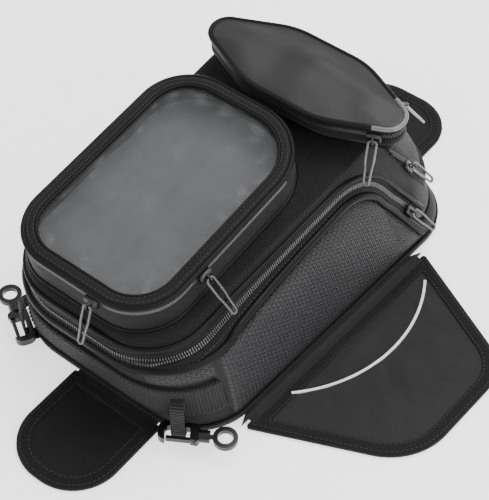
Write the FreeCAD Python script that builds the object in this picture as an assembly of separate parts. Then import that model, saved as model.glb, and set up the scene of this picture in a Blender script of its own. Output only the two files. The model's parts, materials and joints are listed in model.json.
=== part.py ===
import FreeCAD, Part
import math
import os
from FreeCAD import Vector as V

# Tank bag. Millimetres, X to the right, Y forward (pouch end), Z up.
# The origin is the middle of the underside of the base, which lies on Z = 0.

# ---- overall sizes -------------------------------------------------------
total_length = 480.0      # tip of front flap to tip of rear flap
body_front = -150.0       # front edge of the base
body_rear = 158.0         # rear edge of the base
base_half_front = 94.0    # half width of the base at its front edge
base_half_rear = 109.0
shoulder_half_front = 80.0  # half width at the shoulder, the fullest line of the walls
shoulder_half_rear = 90.0
shoulder_front = -166.0
shoulder_rear = 152.0
base_round = 48.0
shoulder_round = 56.0
shoulder_height = 82.0    # at the front end; the line drops towards the rear
shoulder_tilt = 3.6       # degrees

# ---- course of the main zip, seen from the side --------------------------
zip_front_height = 80.0   # at the front end of the body
zip_rise = 6.0            # degrees, climbing towards the rear
zip_peak_y = 55.0         # where the climbing and the falling stretch would meet
zip_peak_round = 50.0
zip_fall = 58.3           # degrees, falling towards the rear corner
zip_rear_height = 20.0    # level stretch round the rear, which is the fold of the cover
zip_foot_round = 14.0
wall = 3.0                # padded cloth wall
liner = 0.8
clearance = 0.4           # between pieces that move against each other

# ---- layers of the base --------------------------------------------------
mat_thick = 2.0
floor_thick = 3.0
foam_thick = 4.0
board_thick = 2.0

# ---- deck: the sloping top that carries the pocket and the pouch ---------
deck_slope = 6.5          # degrees, rising towards the pouch
deck_height = 112.0       # at Y = 0
deck_left = -77.0
deck_right_front = 62.0
deck_right_rear = 76.0
deck_front = -161.0
deck_rear = 112.0
deck_round = 40.0

# ---- phone pocket, in deck coordinates -----------------------------------
pocket_x = -11.0
pocket_v = -61.0
pocket_half_x = 65.0
pocket_half_v = 96.0
pocket_front_round = 38.0
pocket_rear_round = 50.0
pocket_wall_height = 20.0
frame_height = 5.0
frame_width = 9.0
tooth = 1.4               # height of one row of zip teeth
pane_thick = 0.8

# ---- pouch, in deck coordinates ------------------------------------------
pouch_x = 10.0
pouch_v = 77.0
pouch_half_x = 103.0
pouch_mid_x = 32.0
pouch_half_v = 30.0
pouch_wall_height = 22.0
pouch_lid_height = 9.0
pouch_end_round = 12.0
pouch_taper = 9.0         # how far the foot of the pouch wall stands in
pouch_mid_round = 60.0

# ---- flaps and wings -----------------------------------------------------
front_flap_x = 16.0
front_flap_half = 41.0
rear_flap_x = 6.0
rear_flap_half = 48.0
flap_round = 38.0
flap_thick = 3.0
flap_low = 0.6            # underside of the flaps above the ground
edge_width = 5.0
edge_thick = 4.2
wing_reach = 112.0       # how far a wing sticks out from the base
wing_front = -118.0
wing_rear = 96.0
flange = 7.8              # cloth tab that carries a wing, beyond the base edge
wing_fold = 99.0          # the left wing rests folded up by this much
magnet_side = 24.0
magnet_thick = 1.6

# ---- zip sliders and pulls -----------------------------------------------
slider_length = 11.0
slider_width = 7.0
slider_thick = 4.4
slider_lip = 1.3
pull_length = 32.0
pull_width = 7.0
wire = 1.8
pin_radius = 0.9

# ---- webbing and hooks ---------------------------------------------------
band_low = 24.0
band_high = 54.0
band_thick = 2.2
panel_thick = 4.0
panel_low = 9.0
bead_drop = 4.5           # upper edge of the side bead below the main zip
bead_width = 6.0
loop_angle = -59.0        # direction the corner loops face, degrees from +X
loop_gap = 8.5
strap_thick = 1.8
strap_width = 10.0
loop_low = 3.0
loop_high = 46.0
hook_depth = 6.0
hook_height = 14.0        # middle of the hook above the ground
jaw_long = 18.0
jaw_wide = 8.0
spine = 4.0
gate_thick = 2.6
neck_radius = 3.2
eye_outer = 9.0
eye_inner = 5.5

os.makedirs("parts", exist_ok=True)
nodes = {}


def outline(corners, radii, z=0.0):
    """Closed wire through the corners, each one rounded by its radius."""
    count = len(corners)
    edges = []
    starts = []
    ends = []
    mids = []
    for i in range(count):
        p = V(corners[i][0], corners[i][1], z)
        a = V(corners[i - 1][0], corners[i - 1][1], z) - p
        b = V(corners[(i + 1) % count][0], corners[(i + 1) % count][1], z) - p
        a.normalize()
        b.normalize()
        half = math.acos(max(-1.0, min(1.0, a.dot(b)))) / 2
        reach = radii[i] / math.tan(half)
        starts.append(p + a * reach)
        ends.append(p + b * reach)
        bisector = a + b
        bisector.normalize()
        mids.append(p + bisector * (radii[i] / math.sin(half) - radii[i]))
    for i in range(count):
        edges.append(Part.Arc(starts[i], mids[i], ends[i]).toShape())
        follower = starts[(i + 1) % count]
        if ends[i].distanceToPoint(follower) > 1e-4:
            edges.append(Part.makeLine(ends[i], follower))
    return Part.Wire(edges)


def grown(wire_in, amount):
    if abs(amount) < 1e-6:
        return wire_in.copy()
    return wire_in.makeOffset2D(amount)


def plate(wire_in, low, high):
    """Flat plate with the plan of the wire, between two heights."""
    face = Part.Face(wire_in)
    face.translate(V(0, 0, low - wire_in.BoundBox.ZMin))
    return face.extrude(V(0, 0, high - low))


def ring(wire_in, outer, inner, low, high):
    return plate(grown(wire_in, outer), low, high).cut(plate(grown(wire_in, inner), low - 1, high + 1))


def box(x0, x1, y0, y1, z0, z1):
    return Part.makeBox(x1 - x0, y1 - y0, z1 - z0, V(x0, y0, z0))


def save(name, shapes):
    solids = []
    for shape in shapes:
        solids += shape.Solids
    nodes[name] = solids
    body = solids[0] if len(solids) == 1 else Part.makeCompound(solids)
    body.exportStep("parts/" + name + ".step")


# ---- sections of the soft body -------------------------------------------
def base_section(extra, z):
    corners = [(-base_half_front, body_front), (base_half_front, body_front),
               (base_half_rear, body_rear), (-base_half_rear, body_rear)]
    return grown(outline(corners, [base_round] * 4, z), extra)


def shoulder_section(extra):
    depth = shoulder_rear - shoulder_front
    corners = [(-shoulder_half_front, 0), (shoulder_half_front, 0),
               (shoulder_half_rear, depth), (-shoulder_half_rear, depth)]
    flat = grown(outline(corners, [shoulder_round] * 4), extra)
    flat.rotate(V(0, 0, 0), V(1, 0, 0), -shoulder_tilt)
    flat.translate(V(0, shoulder_front, shoulder_height))
    return flat


def on_deck(shape):
    placed = shape.copy()
    placed.rotate(V(0, 0, 0), V(1, 0, 0), deck_slope)
    placed.translate(V(0, 0, deck_height))
    return placed


def deck_point(x, v, w):
    s = math.radians(deck_slope)
    return V(x, v * math.cos(s) - w * math.sin(s), deck_height + v * math.sin(s) + w * math.cos(s))


def deck_section(extra, w):
    corners = [(deck_left, deck_front), (deck_right_front, deck_front),
               (deck_right_rear, deck_rear), (deck_left, deck_rear)]
    return on_deck(grown(outline(corners, [deck_round] * 4, w), extra))


def body_solid(extra, top=0.0):
    """Outside of the whole soft body, grown by extra: foot, shoulder and deck."""
    return Part.makeLoft([base_section(extra, mat_thick), shoulder_section(extra), deck_section(extra, top)],
                         True, True)


FROM_SIDE = FreeCAD.Matrix(0, 0, 1, 0, 1, 0, 0, 0, 0, 1, 0, 0, 0, 0, 0, 1)
far = 300.0
climb = math.tan(math.radians(zip_rise))
fall = math.tan(math.radians(zip_fall))
zip_peak_z = zip_front_height + (zip_peak_y - shoulder_front) * climb
zip_foot_y = zip_peak_y + (zip_peak_z - zip_rear_height) / fall


def side_wire(offset):
    """Region under the main zip, seen from the side in (Y, Z), grown by offset."""
    low_front = zip_front_height - (far + shoulder_front) * climb
    corners = [(-far, -100.0), (far, -100.0), (far, zip_rear_height), (zip_foot_y, zip_rear_height),
               (zip_peak_y, zip_peak_z), (-far, low_front)]
    return grown(outline(corners, [1.0, 1.0, 1.0, zip_foot_round, zip_peak_round, 1.0]), offset)


def under_zip(offset, x0=-200.0, x1=200.0):
    """Everything under the main zip, between two X."""
    solid = Part.Face(side_wire(offset)).extrude(V(0, 0, x1 - x0))
    solid.translate(V(0, 0, x0))
    turned = solid.copy()
    turned.transformShape(FROM_SIDE)
    return turned


def zip_strip(low, high):
    """Slab that follows the main zip between two distances from it."""
    return under_zip(high).cut(under_zip(low))


# ---- tub -----------------------------------------------------------------
zip_gap = 2 * tooth + clearance
body_outer = body_solid(0.0)
body_inner = body_solid(-wall, -wall)
lining_inner = body_solid(-wall - liner, -wall - liner)
floor_level = mat_thick + floor_thick
above_floor = box(-200, 200, -250, 250, floor_level, 200)
tub = body_outer.common(under_zip(0.0)).cut(body_inner.common(above_floor))
save("tub_shell", [tub])

mat_outline = base_section(-8.0, 0.0)
save("grip_mat", [plate(mat_outline, 0.0, mat_thick)])

foam_top = floor_level + foam_thick
board_top = foam_top + board_thick
inside = body_solid(-wall - liner - 0.2, -wall)
save("base_foam", [inside.common(box(-200, 200, -250, 250, floor_level, foam_top))])
save("base_board", [inside.common(box(-200, 200, -250, 250, foam_top, board_top))])
lining = body_inner.cut(lining_inner).common(box(-200, 200, -250, 250, board_top, 200)).common(under_zip(-2.0))
save("tub_lining", [lining])

# side panels: padded skins on both flanks; a thick bead follows the main zip above them
band_end = -121.0
panel_from = 48.0         # the panels reach this far round the front corners
panel_zone = under_zip(-bead_drop - bead_width).common(box(-200, 200, -250, 250, panel_low, 200))
panel_zone = panel_zone.cut(box(-200, 200, -250, band_end, 0, band_high + 1.5))
panel_skin = body_solid(panel_thick).cut(body_outer).common(panel_zone)
panels = [panel_skin.common(box(panel_from, 200, -250, 250, 0, 200)),
          panel_skin.common(box(-200, -panel_from, -250, 250, 0, 200))]
save("side_panels", panels)
bead_skin = body_solid(panel_thick + 1.6).cut(body_outer)
bead_zone = zip_strip(-bead_drop - bead_width, -bead_drop).common(box(-200, 200, -250, zip_foot_y, panel_low, 200))
save("panel_piping", [bead_skin.common(bead_zone)])

# webbing band across the front
band_zone = box(-150, 150, -230, band_end - 1.0, band_low, band_high)
band = body_solid(band_thick).cut(body_outer).common(band_zone)
save("web_band", [band])

# binding round the foot of the tub, with a cloth tab on each flank for the wing
foot = body_solid(1.4).cut(body_outer).common(box(-200, 200, -250, 250, mat_thick + 1.0, 8.0))
flank = math.atan2(base_half_rear - base_half_front, body_rear - body_front)


def flank_x(y):
    """Half width of the base edge at a given Y, on the straight flank."""
    return base_half_front + (y - body_front) * math.tan(flank)


def tab_plate(side):
    inner = -1.0
    outer = (flange - edge_thick / 2) / math.cos(flank)
    points = [(flank_x(wing_front + 14) + inner, wing_front + 14), (flank_x(wing_front) + outer, wing_front),
              (flank_x(wing_rear) + outer, wing_rear), (flank_x(wing_rear - 14) + inner, wing_rear - 14)]
    wire_in = Part.makePolygon([V(side * a, b, 0) for a, b in points] + [V(side * points[0][0], points[0][1], 0)])
    return plate(wire_in, mat_thick - 0.4, mat_thick + 2.0)


tabs = [tab_plate(side).cut(body_outer) for side in (1, -1)]
save("base_binding", [foot.fuse(tabs).removeSplitter()])

# main zip: one row of teeth on the tub, one on the cover, open at the rear
zip_zone = box(-200, 200, -250, zip_foot_y + 4.0, 0, 300)
zip_skin = body_solid(1.0).cut(body_solid(-1.8, -1.8)).common(zip_zone)
save("main_zip_lower", [zip_skin.common(zip_strip(0.0, tooth))])
save("main_zip_upper", [zip_skin.common(zip_strip(tooth + clearance, zip_gap))])

# ---- cover ---------------------------------------------------------------
cover = body_outer.cut(under_zip(zip_gap)).cut(body_inner)
save("cover_shell", [cover])
bead_zone = zip_strip(zip_gap + 2.6, zip_gap + 6.6).common(box(-200, 200, -250, zip_foot_y + 6.0, 0, 300))
save("cover_piping", [body_solid(2.0).cut(body_outer).common(bead_zone)])

# rear zip, on the right flank of the cover, parallel to the falling stretch of the main zip
rear_zip_gap = 27.0
rear_tape_zone = box(0, 200, 78, 200, 36, 106)
rear_teeth_zone = box(0, 200, 80, 200, 38, 104)
rear_tape = body_solid(0.6).cut(body_outer).common(zip_strip(rear_zip_gap - 5.0, rear_zip_gap + 5.0))
rear_teeth = body_solid(1.6).cut(body_solid(0.6)).common(zip_strip(rear_zip_gap - 1.4, rear_zip_gap + 1.4))
save("rear_zip", [rear_tape.common(rear_tape_zone), rear_teeth.common(rear_teeth_zone)])

# ---- phone pocket --------------------------------------------------------
pocket_corners = [(pocket_x - pocket_half_x, pocket_v - pocket_half_v),
                  (pocket_x + pocket_half_x, pocket_v - pocket_half_v),
                  (pocket_x + pocket_half_x, pocket_v + pocket_half_v),
                  (pocket_x - pocket_half_x, pocket_v + pocket_half_v)]
pocket_radii = [pocket_front_round, pocket_front_round, pocket_rear_round, pocket_front_round]
pocket_wire = outline(pocket_corners, pocket_radii)
pocket_wall = ring(pocket_wire, 0.0, -2.4, 0.0, pocket_wall_height)
save("pocket_wall", [on_deck(pocket_wall)])
pocket_floor = plate(grown(pocket_wire, -2.4), 0.0, 1.6)
save("pocket_lining", [on_deck(pocket_floor)])
pocket_hinge_v = pocket_v + pocket_half_v
pocket_zip_zone = box(-200, 200, -250, pocket_hinge_v - 40.0, -5, 60)
row_low = pocket_wall_height
row_high = row_low + tooth
save("pocket_zip_lower", [on_deck(ring(pocket_wire, 0.8, -1.8, row_low, row_high).common(pocket_zip_zone))])
lid_row_low = row_high + clearance
lid_row_high = lid_row_low + tooth
save("window_zip", [on_deck(ring(pocket_wire, 0.8, -1.8, lid_row_low, lid_row_high).common(pocket_zip_zone))])
frame_low = lid_row_high
frame_high = frame_low + frame_height
frame = ring(pocket_wire, 0.0, -frame_width, frame_low, frame_high)
pane_low = frame_low + 1.6
pane = plate(grown(pocket_wire, -frame_width + 3.5), pane_low, pane_low + pane_thick)
save("window_frame", [on_deck(frame.cut(pane))])
save("window_pane", [on_deck(pane)])
rim = ring(pocket_wire, 1.8, 0.0, frame_low + 2.4, frame_high - 0.2)
save("window_piping", [on_deck(rim)])

# ---- pouch ---------------------------------------------------------------
pouch_corners = [(pouch_x - pouch_half_x, pouch_v), (pouch_x - pouch_mid_x, pouch_v - pouch_half_v),
                 (pouch_x + pouch_mid_x, pouch_v - pouch_half_v), (pouch_x + pouch_half_x, pouch_v),
                 (pouch_x + pouch_mid_x, pouch_v + pouch_half_v),
                 (pouch_x - pouch_mid_x, pouch_v + pouch_half_v)]
pouch_radii = [pouch_end_round, pouch_mid_round, pouch_mid_round] * 2
pouch_wire = outline(pouch_corners, pouch_radii)


def pouch_part(extra, low, high, low_extra):
    bottom = grown(pouch_wire, low_extra + extra)
    bottom.translate(V(0, 0, low))
    top = grown(pouch_wire, extra)
    top.translate(V(0, 0, high))
    return Part.makeLoft([bottom, top], True, True)


pouch_shell = pouch_part(0.0, 0.0, pouch_wall_height, -pouch_taper).cut(
    pouch_part(-2.4, 2.4, pouch_wall_height + 0.01, -pouch_taper))
save("pouch_wall", [on_deck(pouch_shell)])
pouch_hinge_v = pouch_v + pouch_half_v
pouch_zip_zone = box(-200, 200, -100, pouch_hinge_v - 12.0, 0, 60)
low_row = ring(pouch_wire, 0.8, -1.8, pouch_wall_height, pouch_wall_height + tooth).common(pouch_zip_zone)
save("pouch_zip_lower", [on_deck(low_row)])
high_row_low = pouch_wall_height + tooth + clearance
lid_low = high_row_low + tooth
high_row = ring(pouch_wire, 0.8, -1.8, high_row_low, lid_low).common(pouch_zip_zone)
save("pouch_zip_upper", [on_deck(high_row)])
lid_top_wire = grown(pouch_wire, -9.0)
lid_top_wire.translate(V(0, 0, lid_low + pouch_lid_height + 3.0))
lid_mid_wire = grown(pouch_wire, 0.0)
lid_mid_wire.translate(V(0, 0, lid_low + pouch_lid_height - 2.0))
lid_dome = Part.makeLoft([lid_mid_wire, lid_top_wire], True, True)
lid_band = plate(pouch_wire, lid_low, lid_low + pouch_lid_height - 2.0)
lid_hollow = plate(grown(pouch_wire, -2.4), lid_low - 1.0, lid_low + pouch_lid_height - 3.0)
save("pouch_top", [on_deck(lid_band.fuse(lid_dome).cut(lid_hollow).removeSplitter())])
lid_bead = ring(pouch_wire, 2.2, 0.0, lid_low + pouch_lid_height - 5.0, lid_low + pouch_lid_height - 2.0)
glow_start = pouch_x + pouch_half_x - 34.0
glow_zone = box(glow_start, 200, -200, 200, 0, 100)
save("pouch_piping", [on_deck(lid_bead.cut(glow_zone))])
save("pouch_glow", [on_deck(lid_bead.common(glow_zone))])

# ---- flaps ---------------------------------------------------------------
tip_y = total_length / 2


def flap_set(prefix, root_y, tip, middle_x, half):
    corners = [(middle_x - half, root_y), (middle_x + half, root_y),
               (middle_x + half, tip), (middle_x - half, tip)]
    wire_in = outline(corners, [2.0, 2.0, flap_round, flap_round])
    top = flap_low + flap_thick
    middle = (flap_low + top) / 2
    skin = plate(grown(wire_in, -edge_width), flap_low, top)
    edge = ring(wire_in, 0.0, -edge_width, middle - edge_thick / 2, middle + edge_thick / 2)
    magnets = []
    inward = -1 if tip > 0 else 1
    for k in (-1, 1):
        cx = middle_x + k * (magnet_side / 2 + 3.0)
        cy = tip + inward * 38.0
        magnets.append(box(cx - magnet_side / 2, cx + magnet_side / 2, cy - magnet_side / 2,
                           cy + magnet_side / 2, middle - magnet_thick / 2, middle + magnet_thick / 2))
    for one in magnets:
        skin = skin.cut(one)
    save(prefix, [skin])
    save(prefix + "_edge", [edge])
    save(prefix + "_magnets", magnets)


flap_gap = 2.2 + edge_thick / 2 + clearance  # room for the root edge to turn
flap_set("front_flap", body_front - flap_gap, -tip_y, front_flap_x, front_flap_half)
flap_set("rear_flap", body_rear + flap_gap, tip_y, rear_flap_x, rear_flap_half)

# ---- wings ---------------------------------------------------------------
wing_root_gap = flange + clearance
wing_corners = [(0.0, wing_front), (wing_reach, -62.0), (wing_reach, 47.0), (0.0, wing_rear)]
wing_radii = [2.0, 54.0, 40.0, 2.0]
wing_base = V(flank_x(0.0) + wing_root_gap / math.cos(flank), 0, 0)
wing_middle = flap_low + flap_thick / 2


def wing_solids():
    """Right wing pieces, flat on the ground, before being turned to the flank."""
    wire_in = outline(wing_corners, wing_radii)
    top = flap_low + flap_thick
    skin = plate(grown(wire_in, -edge_width), flap_low, top)
    edge = ring(wire_in, 0.0, -edge_width, wing_middle - edge_thick / 2, wing_middle + edge_thick / 2)
    magnets = []
    for cx, cy in ((58.0, -14.0), (58.0, 18.0)):
        magnets.append(box(cx - magnet_side / 2, cx + magnet_side / 2, cy - magnet_side / 2,
                           cy + magnet_side / 2, wing_middle - magnet_thick / 2,
                           wing_middle + magnet_thick / 2))
    for one in magnets:
        skin = skin.cut(one)
    arc = Part.Arc(V(edge_width + 2.0, -74.0, top), V(38.0, 2.0, top), V(17.0, 74.0, top)).toShape()
    outer = []
    inner = []
    for t in (0.0, 0.5, 1.0):
        u = arc.FirstParameter + t * (arc.LastParameter - arc.FirstParameter)
        p = arc.valueAt(u)
        tangent = arc.tangentAt(u)
        sideways = V(-tangent.y, tangent.x, 0)
        outer.append(p + sideways * 1.0)
        inner.append(p - sideways * 1.0)
    strip = Part.Wire([Part.Arc(*outer).toShape(), Part.makeLine(outer[2], inner[2]),
                       Part.Arc(inner[2], inner[1], inner[0]).toShape(), Part.makeLine(inner[0], outer[0])])
    glow = Part.Face(strip).extrude(V(0, 0, 1.2))
    return [skin], [edge], magnets, [glow]


def place_wing(shape, side):
    """Turns the flat wing to the flank; the left one is mirrored and folded up."""
    placed = shape.copy()
    placed.rotate(V(0, 0, 0), V(0, 0, 1), -math.degrees(flank))
    placed.translate(wing_base)
    if side < 0:
        placed = placed.mirror(V(0, 0, 0), V(1, 0, 0))
        axis = V(math.sin(flank) * -1, math.cos(flank), 0)
        foot_point = V(-wing_base.x, 0, wing_middle)
        placed.rotate(foot_point, axis, wing_fold)
    return placed


for name, side in (("right_wing", 1), ("left_wing", -1)):
    skin, edge, magnets, glow = wing_solids()
    save(name, [place_wing(s, side) for s in skin])
    save(name + "_edge", [place_wing(s, side) for s in edge])
    save(name + "_magnets", [place_wing(s, side) for s in magnets])
    save(name + "_glow", [place_wing(s, side) for s in glow])


# ---- zip sliders ---------------------------------------------------------
def slider_solids(trailing):
    """Slider over a zip along local X; local Y points away from the cloth.

    The pull is drawn along local Y from the origin; a trailing pull lies along the zip."""
    body = box(-slider_length / 2, slider_length / 2, 0.0, slider_thick, -slider_width / 2,
               slider_width / 2)
    tongue = box(-slider_length, slider_length, -1.0, slider_lip + 1.2, -2.0, 2.0)
    body = body.cut(tongue)
    # a small arch straddles the end bar of the pull
    pin_y = slider_thick + 1.7
    arch_in = 1.7
    arch_out = arch_in + 1.5
    post = box(-1.1, 1.1, slider_thick - 0.5, pin_y + 2.9, -arch_out, -arch_in)
    second = box(-1.1, 1.1, slider_thick - 0.5, pin_y + 2.9, arch_in, arch_out)
    bridge = box(-1.1, 1.1, pin_y + 1.7, pin_y + 2.9, -arch_out, arch_out)
    bail = post.fuse([second, bridge])
    if trailing:
        bail.rotate(V(0, 0, 0), V(0, 1, 0), 90)
    body = body.fuse(bail).removeSplitter()
    # the pull: a wire loop whose end bar passes under the bridge
    half = pull_width / 2
    outer = outline([(-half, -wire / 2), (half, -wire / 2), (half - 0.6, pull_length),
                     (-half + 0.6, pull_length)], [1.0, 1.0, 2.6, 2.6], -wire / 2)
    loop = Part.Face(outer).extrude(V(0, 0, wire))
    hole = outline([(-half + wire, wire / 2), (half - wire, wire / 2),
                    (half - wire - 0.4, pull_length - 13.0), (-half + wire + 0.4, pull_length - 13.0)],
                   [0.4, 0.4, 0.5, 0.5], -wire)
    loop = loop.cut(Part.Face(hole).extrude(V(0, 0, 2 * wire)))
    if trailing:
        loop.rotate(V(0, 0, 0), V(0, 1, 0), 90)
    return body, loop, pin_y


def place(shape, origin, along, out):
    """Carries local X to along and local Y to out."""
    x = V(along).normalize()
    y = V(out)
    y = (y - x * y.dot(x)).normalize()
    z = x.cross(y)
    m = FreeCAD.Matrix(x.x, y.x, z.x, origin.x, x.y, y.y, z.y, origin.y, x.z, y.z, z.z, origin.z,
                       0, 0, 0, 1)
    return moved(shape, m)


def moved(shape, m):
    placed = shape.copy()
    placed.Placement = FreeCAD.Placement(m).multiply(placed.Placement)
    return placed


slider_records = {}


def add_slider(name, origin, along, out, lean, travel, trailing=False):
    body, pull, pin_y = slider_solids(trailing)
    pull.rotate(V(0, 0, 0), V(0, 0, 1) if trailing else V(1, 0, 0), lean)
    pull.translate(V(0, pin_y, 0))
    save(name + "_slider", [place(body, origin, along, out)])
    save(name + "_pull", [place(pull, origin, along, out)])
    x = V(along).normalize()
    y = V(out)
    y = (y - x * y.dot(x)).normalize()
    pin = origin + y * pin_y
    slider_records[name] = (pin, x, x.cross(y) if trailing else x, travel)


slope = math.radians(deck_slope)
up_deck = V(0, math.cos(slope), math.sin(slope))


def flank_point(y, z):
    """Point of the right flank at a given Y and Z."""
    inside_part = Part.makeLine(V(0, y, z), V(200, y, z)).common(body_outer)
    return V(inside_part.BoundBox.XMax, y, z)


def falling_site(foot_distance, offset):
    """Place on the falling stretch, measured up from its foot: point, uphill direction, outward."""
    uphill = V(0, -math.cos(math.radians(zip_fall)), math.sin(math.radians(zip_fall)))
    beside = V(0, uphill.z, -uphill.y)
    spot = V(0, zip_foot_y, zip_rear_height) + uphill * foot_distance + beside * offset
    here = flank_point(spot.y, spot.z)
    ahead = flank_point(spot.y + uphill.y * 4, spot.z + uphill.z * 4)
    behind = flank_point(spot.y - uphill.y * 4, spot.z - uphill.z * 4)
    above = flank_point(spot.y, spot.z + 4)
    below = flank_point(spot.y, spot.z - 4)
    along = (ahead - behind).normalize()
    out = along.cross((above - below).normalize())
    out = (out if out.x > 0 else out * -1).normalize()
    return here, along, out


here, main_along, main_out = falling_site(26.0, zip_gap / 2)
add_slider("main", here + main_out * (1.0 + clearance), main_along, main_out, 84.0, 26.0, True)

pocket_zip_w = row_high + clearance / 2
side_x = pocket_x + pocket_half_x + 0.8 + clearance
add_slider("pocket_side", deck_point(side_x, -100.0, pocket_zip_w), up_deck, V(1, 0, 0), 50.0, 80.0)
front_v = pocket_v - pocket_half_v - 0.8 - clearance
add_slider("pocket_front", deck_point(9.0, front_v, pocket_zip_w), V(1, 0, 0), -up_deck, 63.0, -38.0)

pouch_zip_w = pouch_wall_height + tooth + clearance / 2
diagonal = math.atan2(pouch_half_v, pouch_half_x - pouch_mid_x)


def pouch_site(from_tip, front):
    """Point and directions on a straight slanting edge at the right end of the pouch."""
    sign = -1 if front else 1
    ex = -math.cos(diagonal)
    ev = sign * math.sin(diagonal)
    nx = math.sin(diagonal)
    nv = sign * math.cos(diagonal)
    off = 0.8 + clearance
    x = pouch_x + pouch_half_x + ex * from_tip + nx * off
    v = pouch_v + ev * from_tip + nv * off
    along = deck_point(ex, ev, 0) - deck_point(0, 0, 0)
    out = deck_point(nx, nv, 0) - deck_point(0, 0, 0)
    return deck_point(x, v, pouch_zip_w), along, out


site = pouch_site(35.0, True)
add_slider("pouch_front", site[0], site[1] * -1, site[2], 42.0, -20.0)
site = pouch_site(35.0, False)
add_slider("pouch_rear", site[0], site[1], site[2], 60.0, 20.0)


here, rear_along, rear_out = falling_site(52.0, rear_zip_gap)
add_slider("rear", here + rear_out * (1.6 + clearance), rear_along, rear_out, 84.0, 6.0, True)


# ---- corner loops and snap hooks -----------------------------------------
def corner_frame(side):
    """Foot point on the corner, outward normal and tangent, at hook height."""
    a = math.radians(loop_angle)
    share = (hook_height - mat_thick) / (shoulder_height - mat_thick)
    half = base_half_front + (shoulder_half_front - base_half_front) * share
    front = body_front + (shoulder_front - body_front) * share
    r = base_round + (shoulder_round - base_round) * share
    cx = half - r
    cy = front + r
    n = V(math.cos(a), math.sin(a), 0)
    p = V(cx, cy, 0) + n * (r + 2.6)
    if side < 0:
        p = V(-p.x, p.y, p.z)
        n = V(-n.x, n.y, 0)
    return p, n, V(n.y, -n.x, 0)


def at_corner(shape, side, height):
    """Carries local X to the tangent that points away from the middle, local Y outward."""
    p, n, t = corner_frame(side)
    if side > 0:
        shape = shape.mirror(V(0, 0, 0), V(1, 0, 0))
    m = FreeCAD.Matrix(t.x, n.x, 0, p.x, t.y, n.y, 0, p.y, 0, 0, 1, height, 0, 0, 0, 1)
    return moved(shape, m)


def loop_solid(side):
    """Strap that stands off the corner like a staple; local X tangent, local Y outward."""
    depth = loop_gap + strap_thick
    outer = box(-strap_width / 2, strap_width / 2, -6.0, depth, loop_low, loop_high)
    hollow = box(-strap_width, strap_width, -20.0, loop_gap, loop_low + strap_thick,
                 loop_high - strap_thick)
    return at_corner(outer.cut(hollow), side, 0.0).cut(body_solid(band_thick))


save("web_loops", [loop_solid(1), loop_solid(-1)])


def hook_solids():
    """Hook round the strap: local X along the hook, local Y outward, local Z up."""
    strap_mid = loop_gap + strap_thick / 2
    jaw_y0 = strap_mid - 2.6
    jaw_y1 = jaw_y0 + jaw_wide
    jaw_x0 = -jaw_long / 2
    jaw_x1 = jaw_long / 2
    h = hook_depth / 2
    outer = outline([(jaw_x0 - 5.0, jaw_y0 - spine), (jaw_x1 + 7.0, jaw_y0 - spine),
                     (jaw_x1 + 7.0, jaw_y1 + 3.4), (jaw_x0 - 5.0, jaw_y1 + 3.4)],
                    [6.0, 3.0, 4.0, 6.0], -h)
    body = Part.Face(outer).extrude(V(0, 0, hook_depth))
    mouth = outline([(jaw_x0, jaw_y0), (jaw_x1, jaw_y0), (jaw_x1, jaw_y1), (jaw_x0, jaw_y1)],
                    [2.5, 1.0, 0.5, 0.5], -h - 1)
    body = body.cut(Part.Face(mouth).extrude(V(0, 0, hook_depth + 2)))
    # the gate closes the outer side
    body = body.cut(box(jaw_x0 + 0.5, jaw_x1 + 4.0, jaw_y1 - 0.01, jaw_y1 + 6.0, -h - 1, h + 1))
    slot_x = jaw_x1 + 2.2
    body = body.cut(Part.makeCylinder(3.0, hook_depth + 2, V(slot_x, jaw_y1 + 0.6, -h - 1)))
    gate_y = jaw_y1 + 0.6
    gate = box(jaw_x0 + 1.2, slot_x, gate_y - gate_thick / 2, gate_y + gate_thick / 2, -h + 1.0, h - 1.0)
    gate = gate.fuse(Part.makeCylinder(2.0, hook_depth - 2.0, V(slot_x, gate_y, -h + 1.0)))
    pin = Part.makeCylinder(0.8, hook_depth + 1.0, V(slot_x, gate_y, -h - 0.5))
    gate = gate.cut(Part.makeCylinder(0.8 + 0.35, hook_depth + 2, V(slot_x, gate_y, -h - 1)))
    bar_top = box(slot_x - 1.6, jaw_x1 + 6.0, jaw_y1 - 3.0, gate_y + 1.6, h - 0.6, h + 0.6)
    bar_low = box(slot_x - 1.6, jaw_x1 + 6.0, jaw_y1 - 3.0, gate_y + 1.6, -h - 0.6, -h + 0.6)
    body = body.fuse([pin, bar_top, bar_low]).removeSplitter()
    # neck, bored for the swivel stem
    mid_y = jaw_y0 + jaw_wide / 2
    neck_x = jaw_x1 + 7.0
    neck = Part.makeCylinder(4.6, 8.0, V(neck_x - 1.0, mid_y, 0), V(1, 0, 0))
    bore = Part.makeCylinder(neck_radius + 0.35, 6.0, V(neck_x + 0.6, mid_y, 0), V(1, 0, 0))
    throat = Part.makeCylinder(1.8 + 0.35, 10.0, V(neck_x, mid_y, 0), V(1, 0, 0))
    body = body.fuse(neck).removeSplitter().cut(bore.common(
        Part.makeCylinder(9, 4.4, V(neck_x + 0.6, mid_y, 0), V(1, 0, 0)))).cut(throat)
    body = max(body.Solids, key=lambda solid: solid.Volume)
    head = Part.makeCylinder(neck_radius, 3.6, V(neck_x + 1.0, mid_y, 0), V(1, 0, 0))
    stem = Part.makeCylinder(1.8, 9.0, V(neck_x + 1.0, mid_y, 0), V(1, 0, 0))
    eye_x = neck_x + 9.4 + eye_outer - 0.6
    eye = Part.makeCylinder(eye_outer, 4.0, V(eye_x, mid_y, -2.0))
    eye = eye.cut(Part.makeCylinder(eye_inner, 6.0, V(eye_x, mid_y, -3.0)))
    swivel = head.fuse([stem, eye]).removeSplitter()
    return body, gate, swivel, V(slot_x, gate_y, 0), V(0, mid_y, 0), strap_mid


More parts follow.
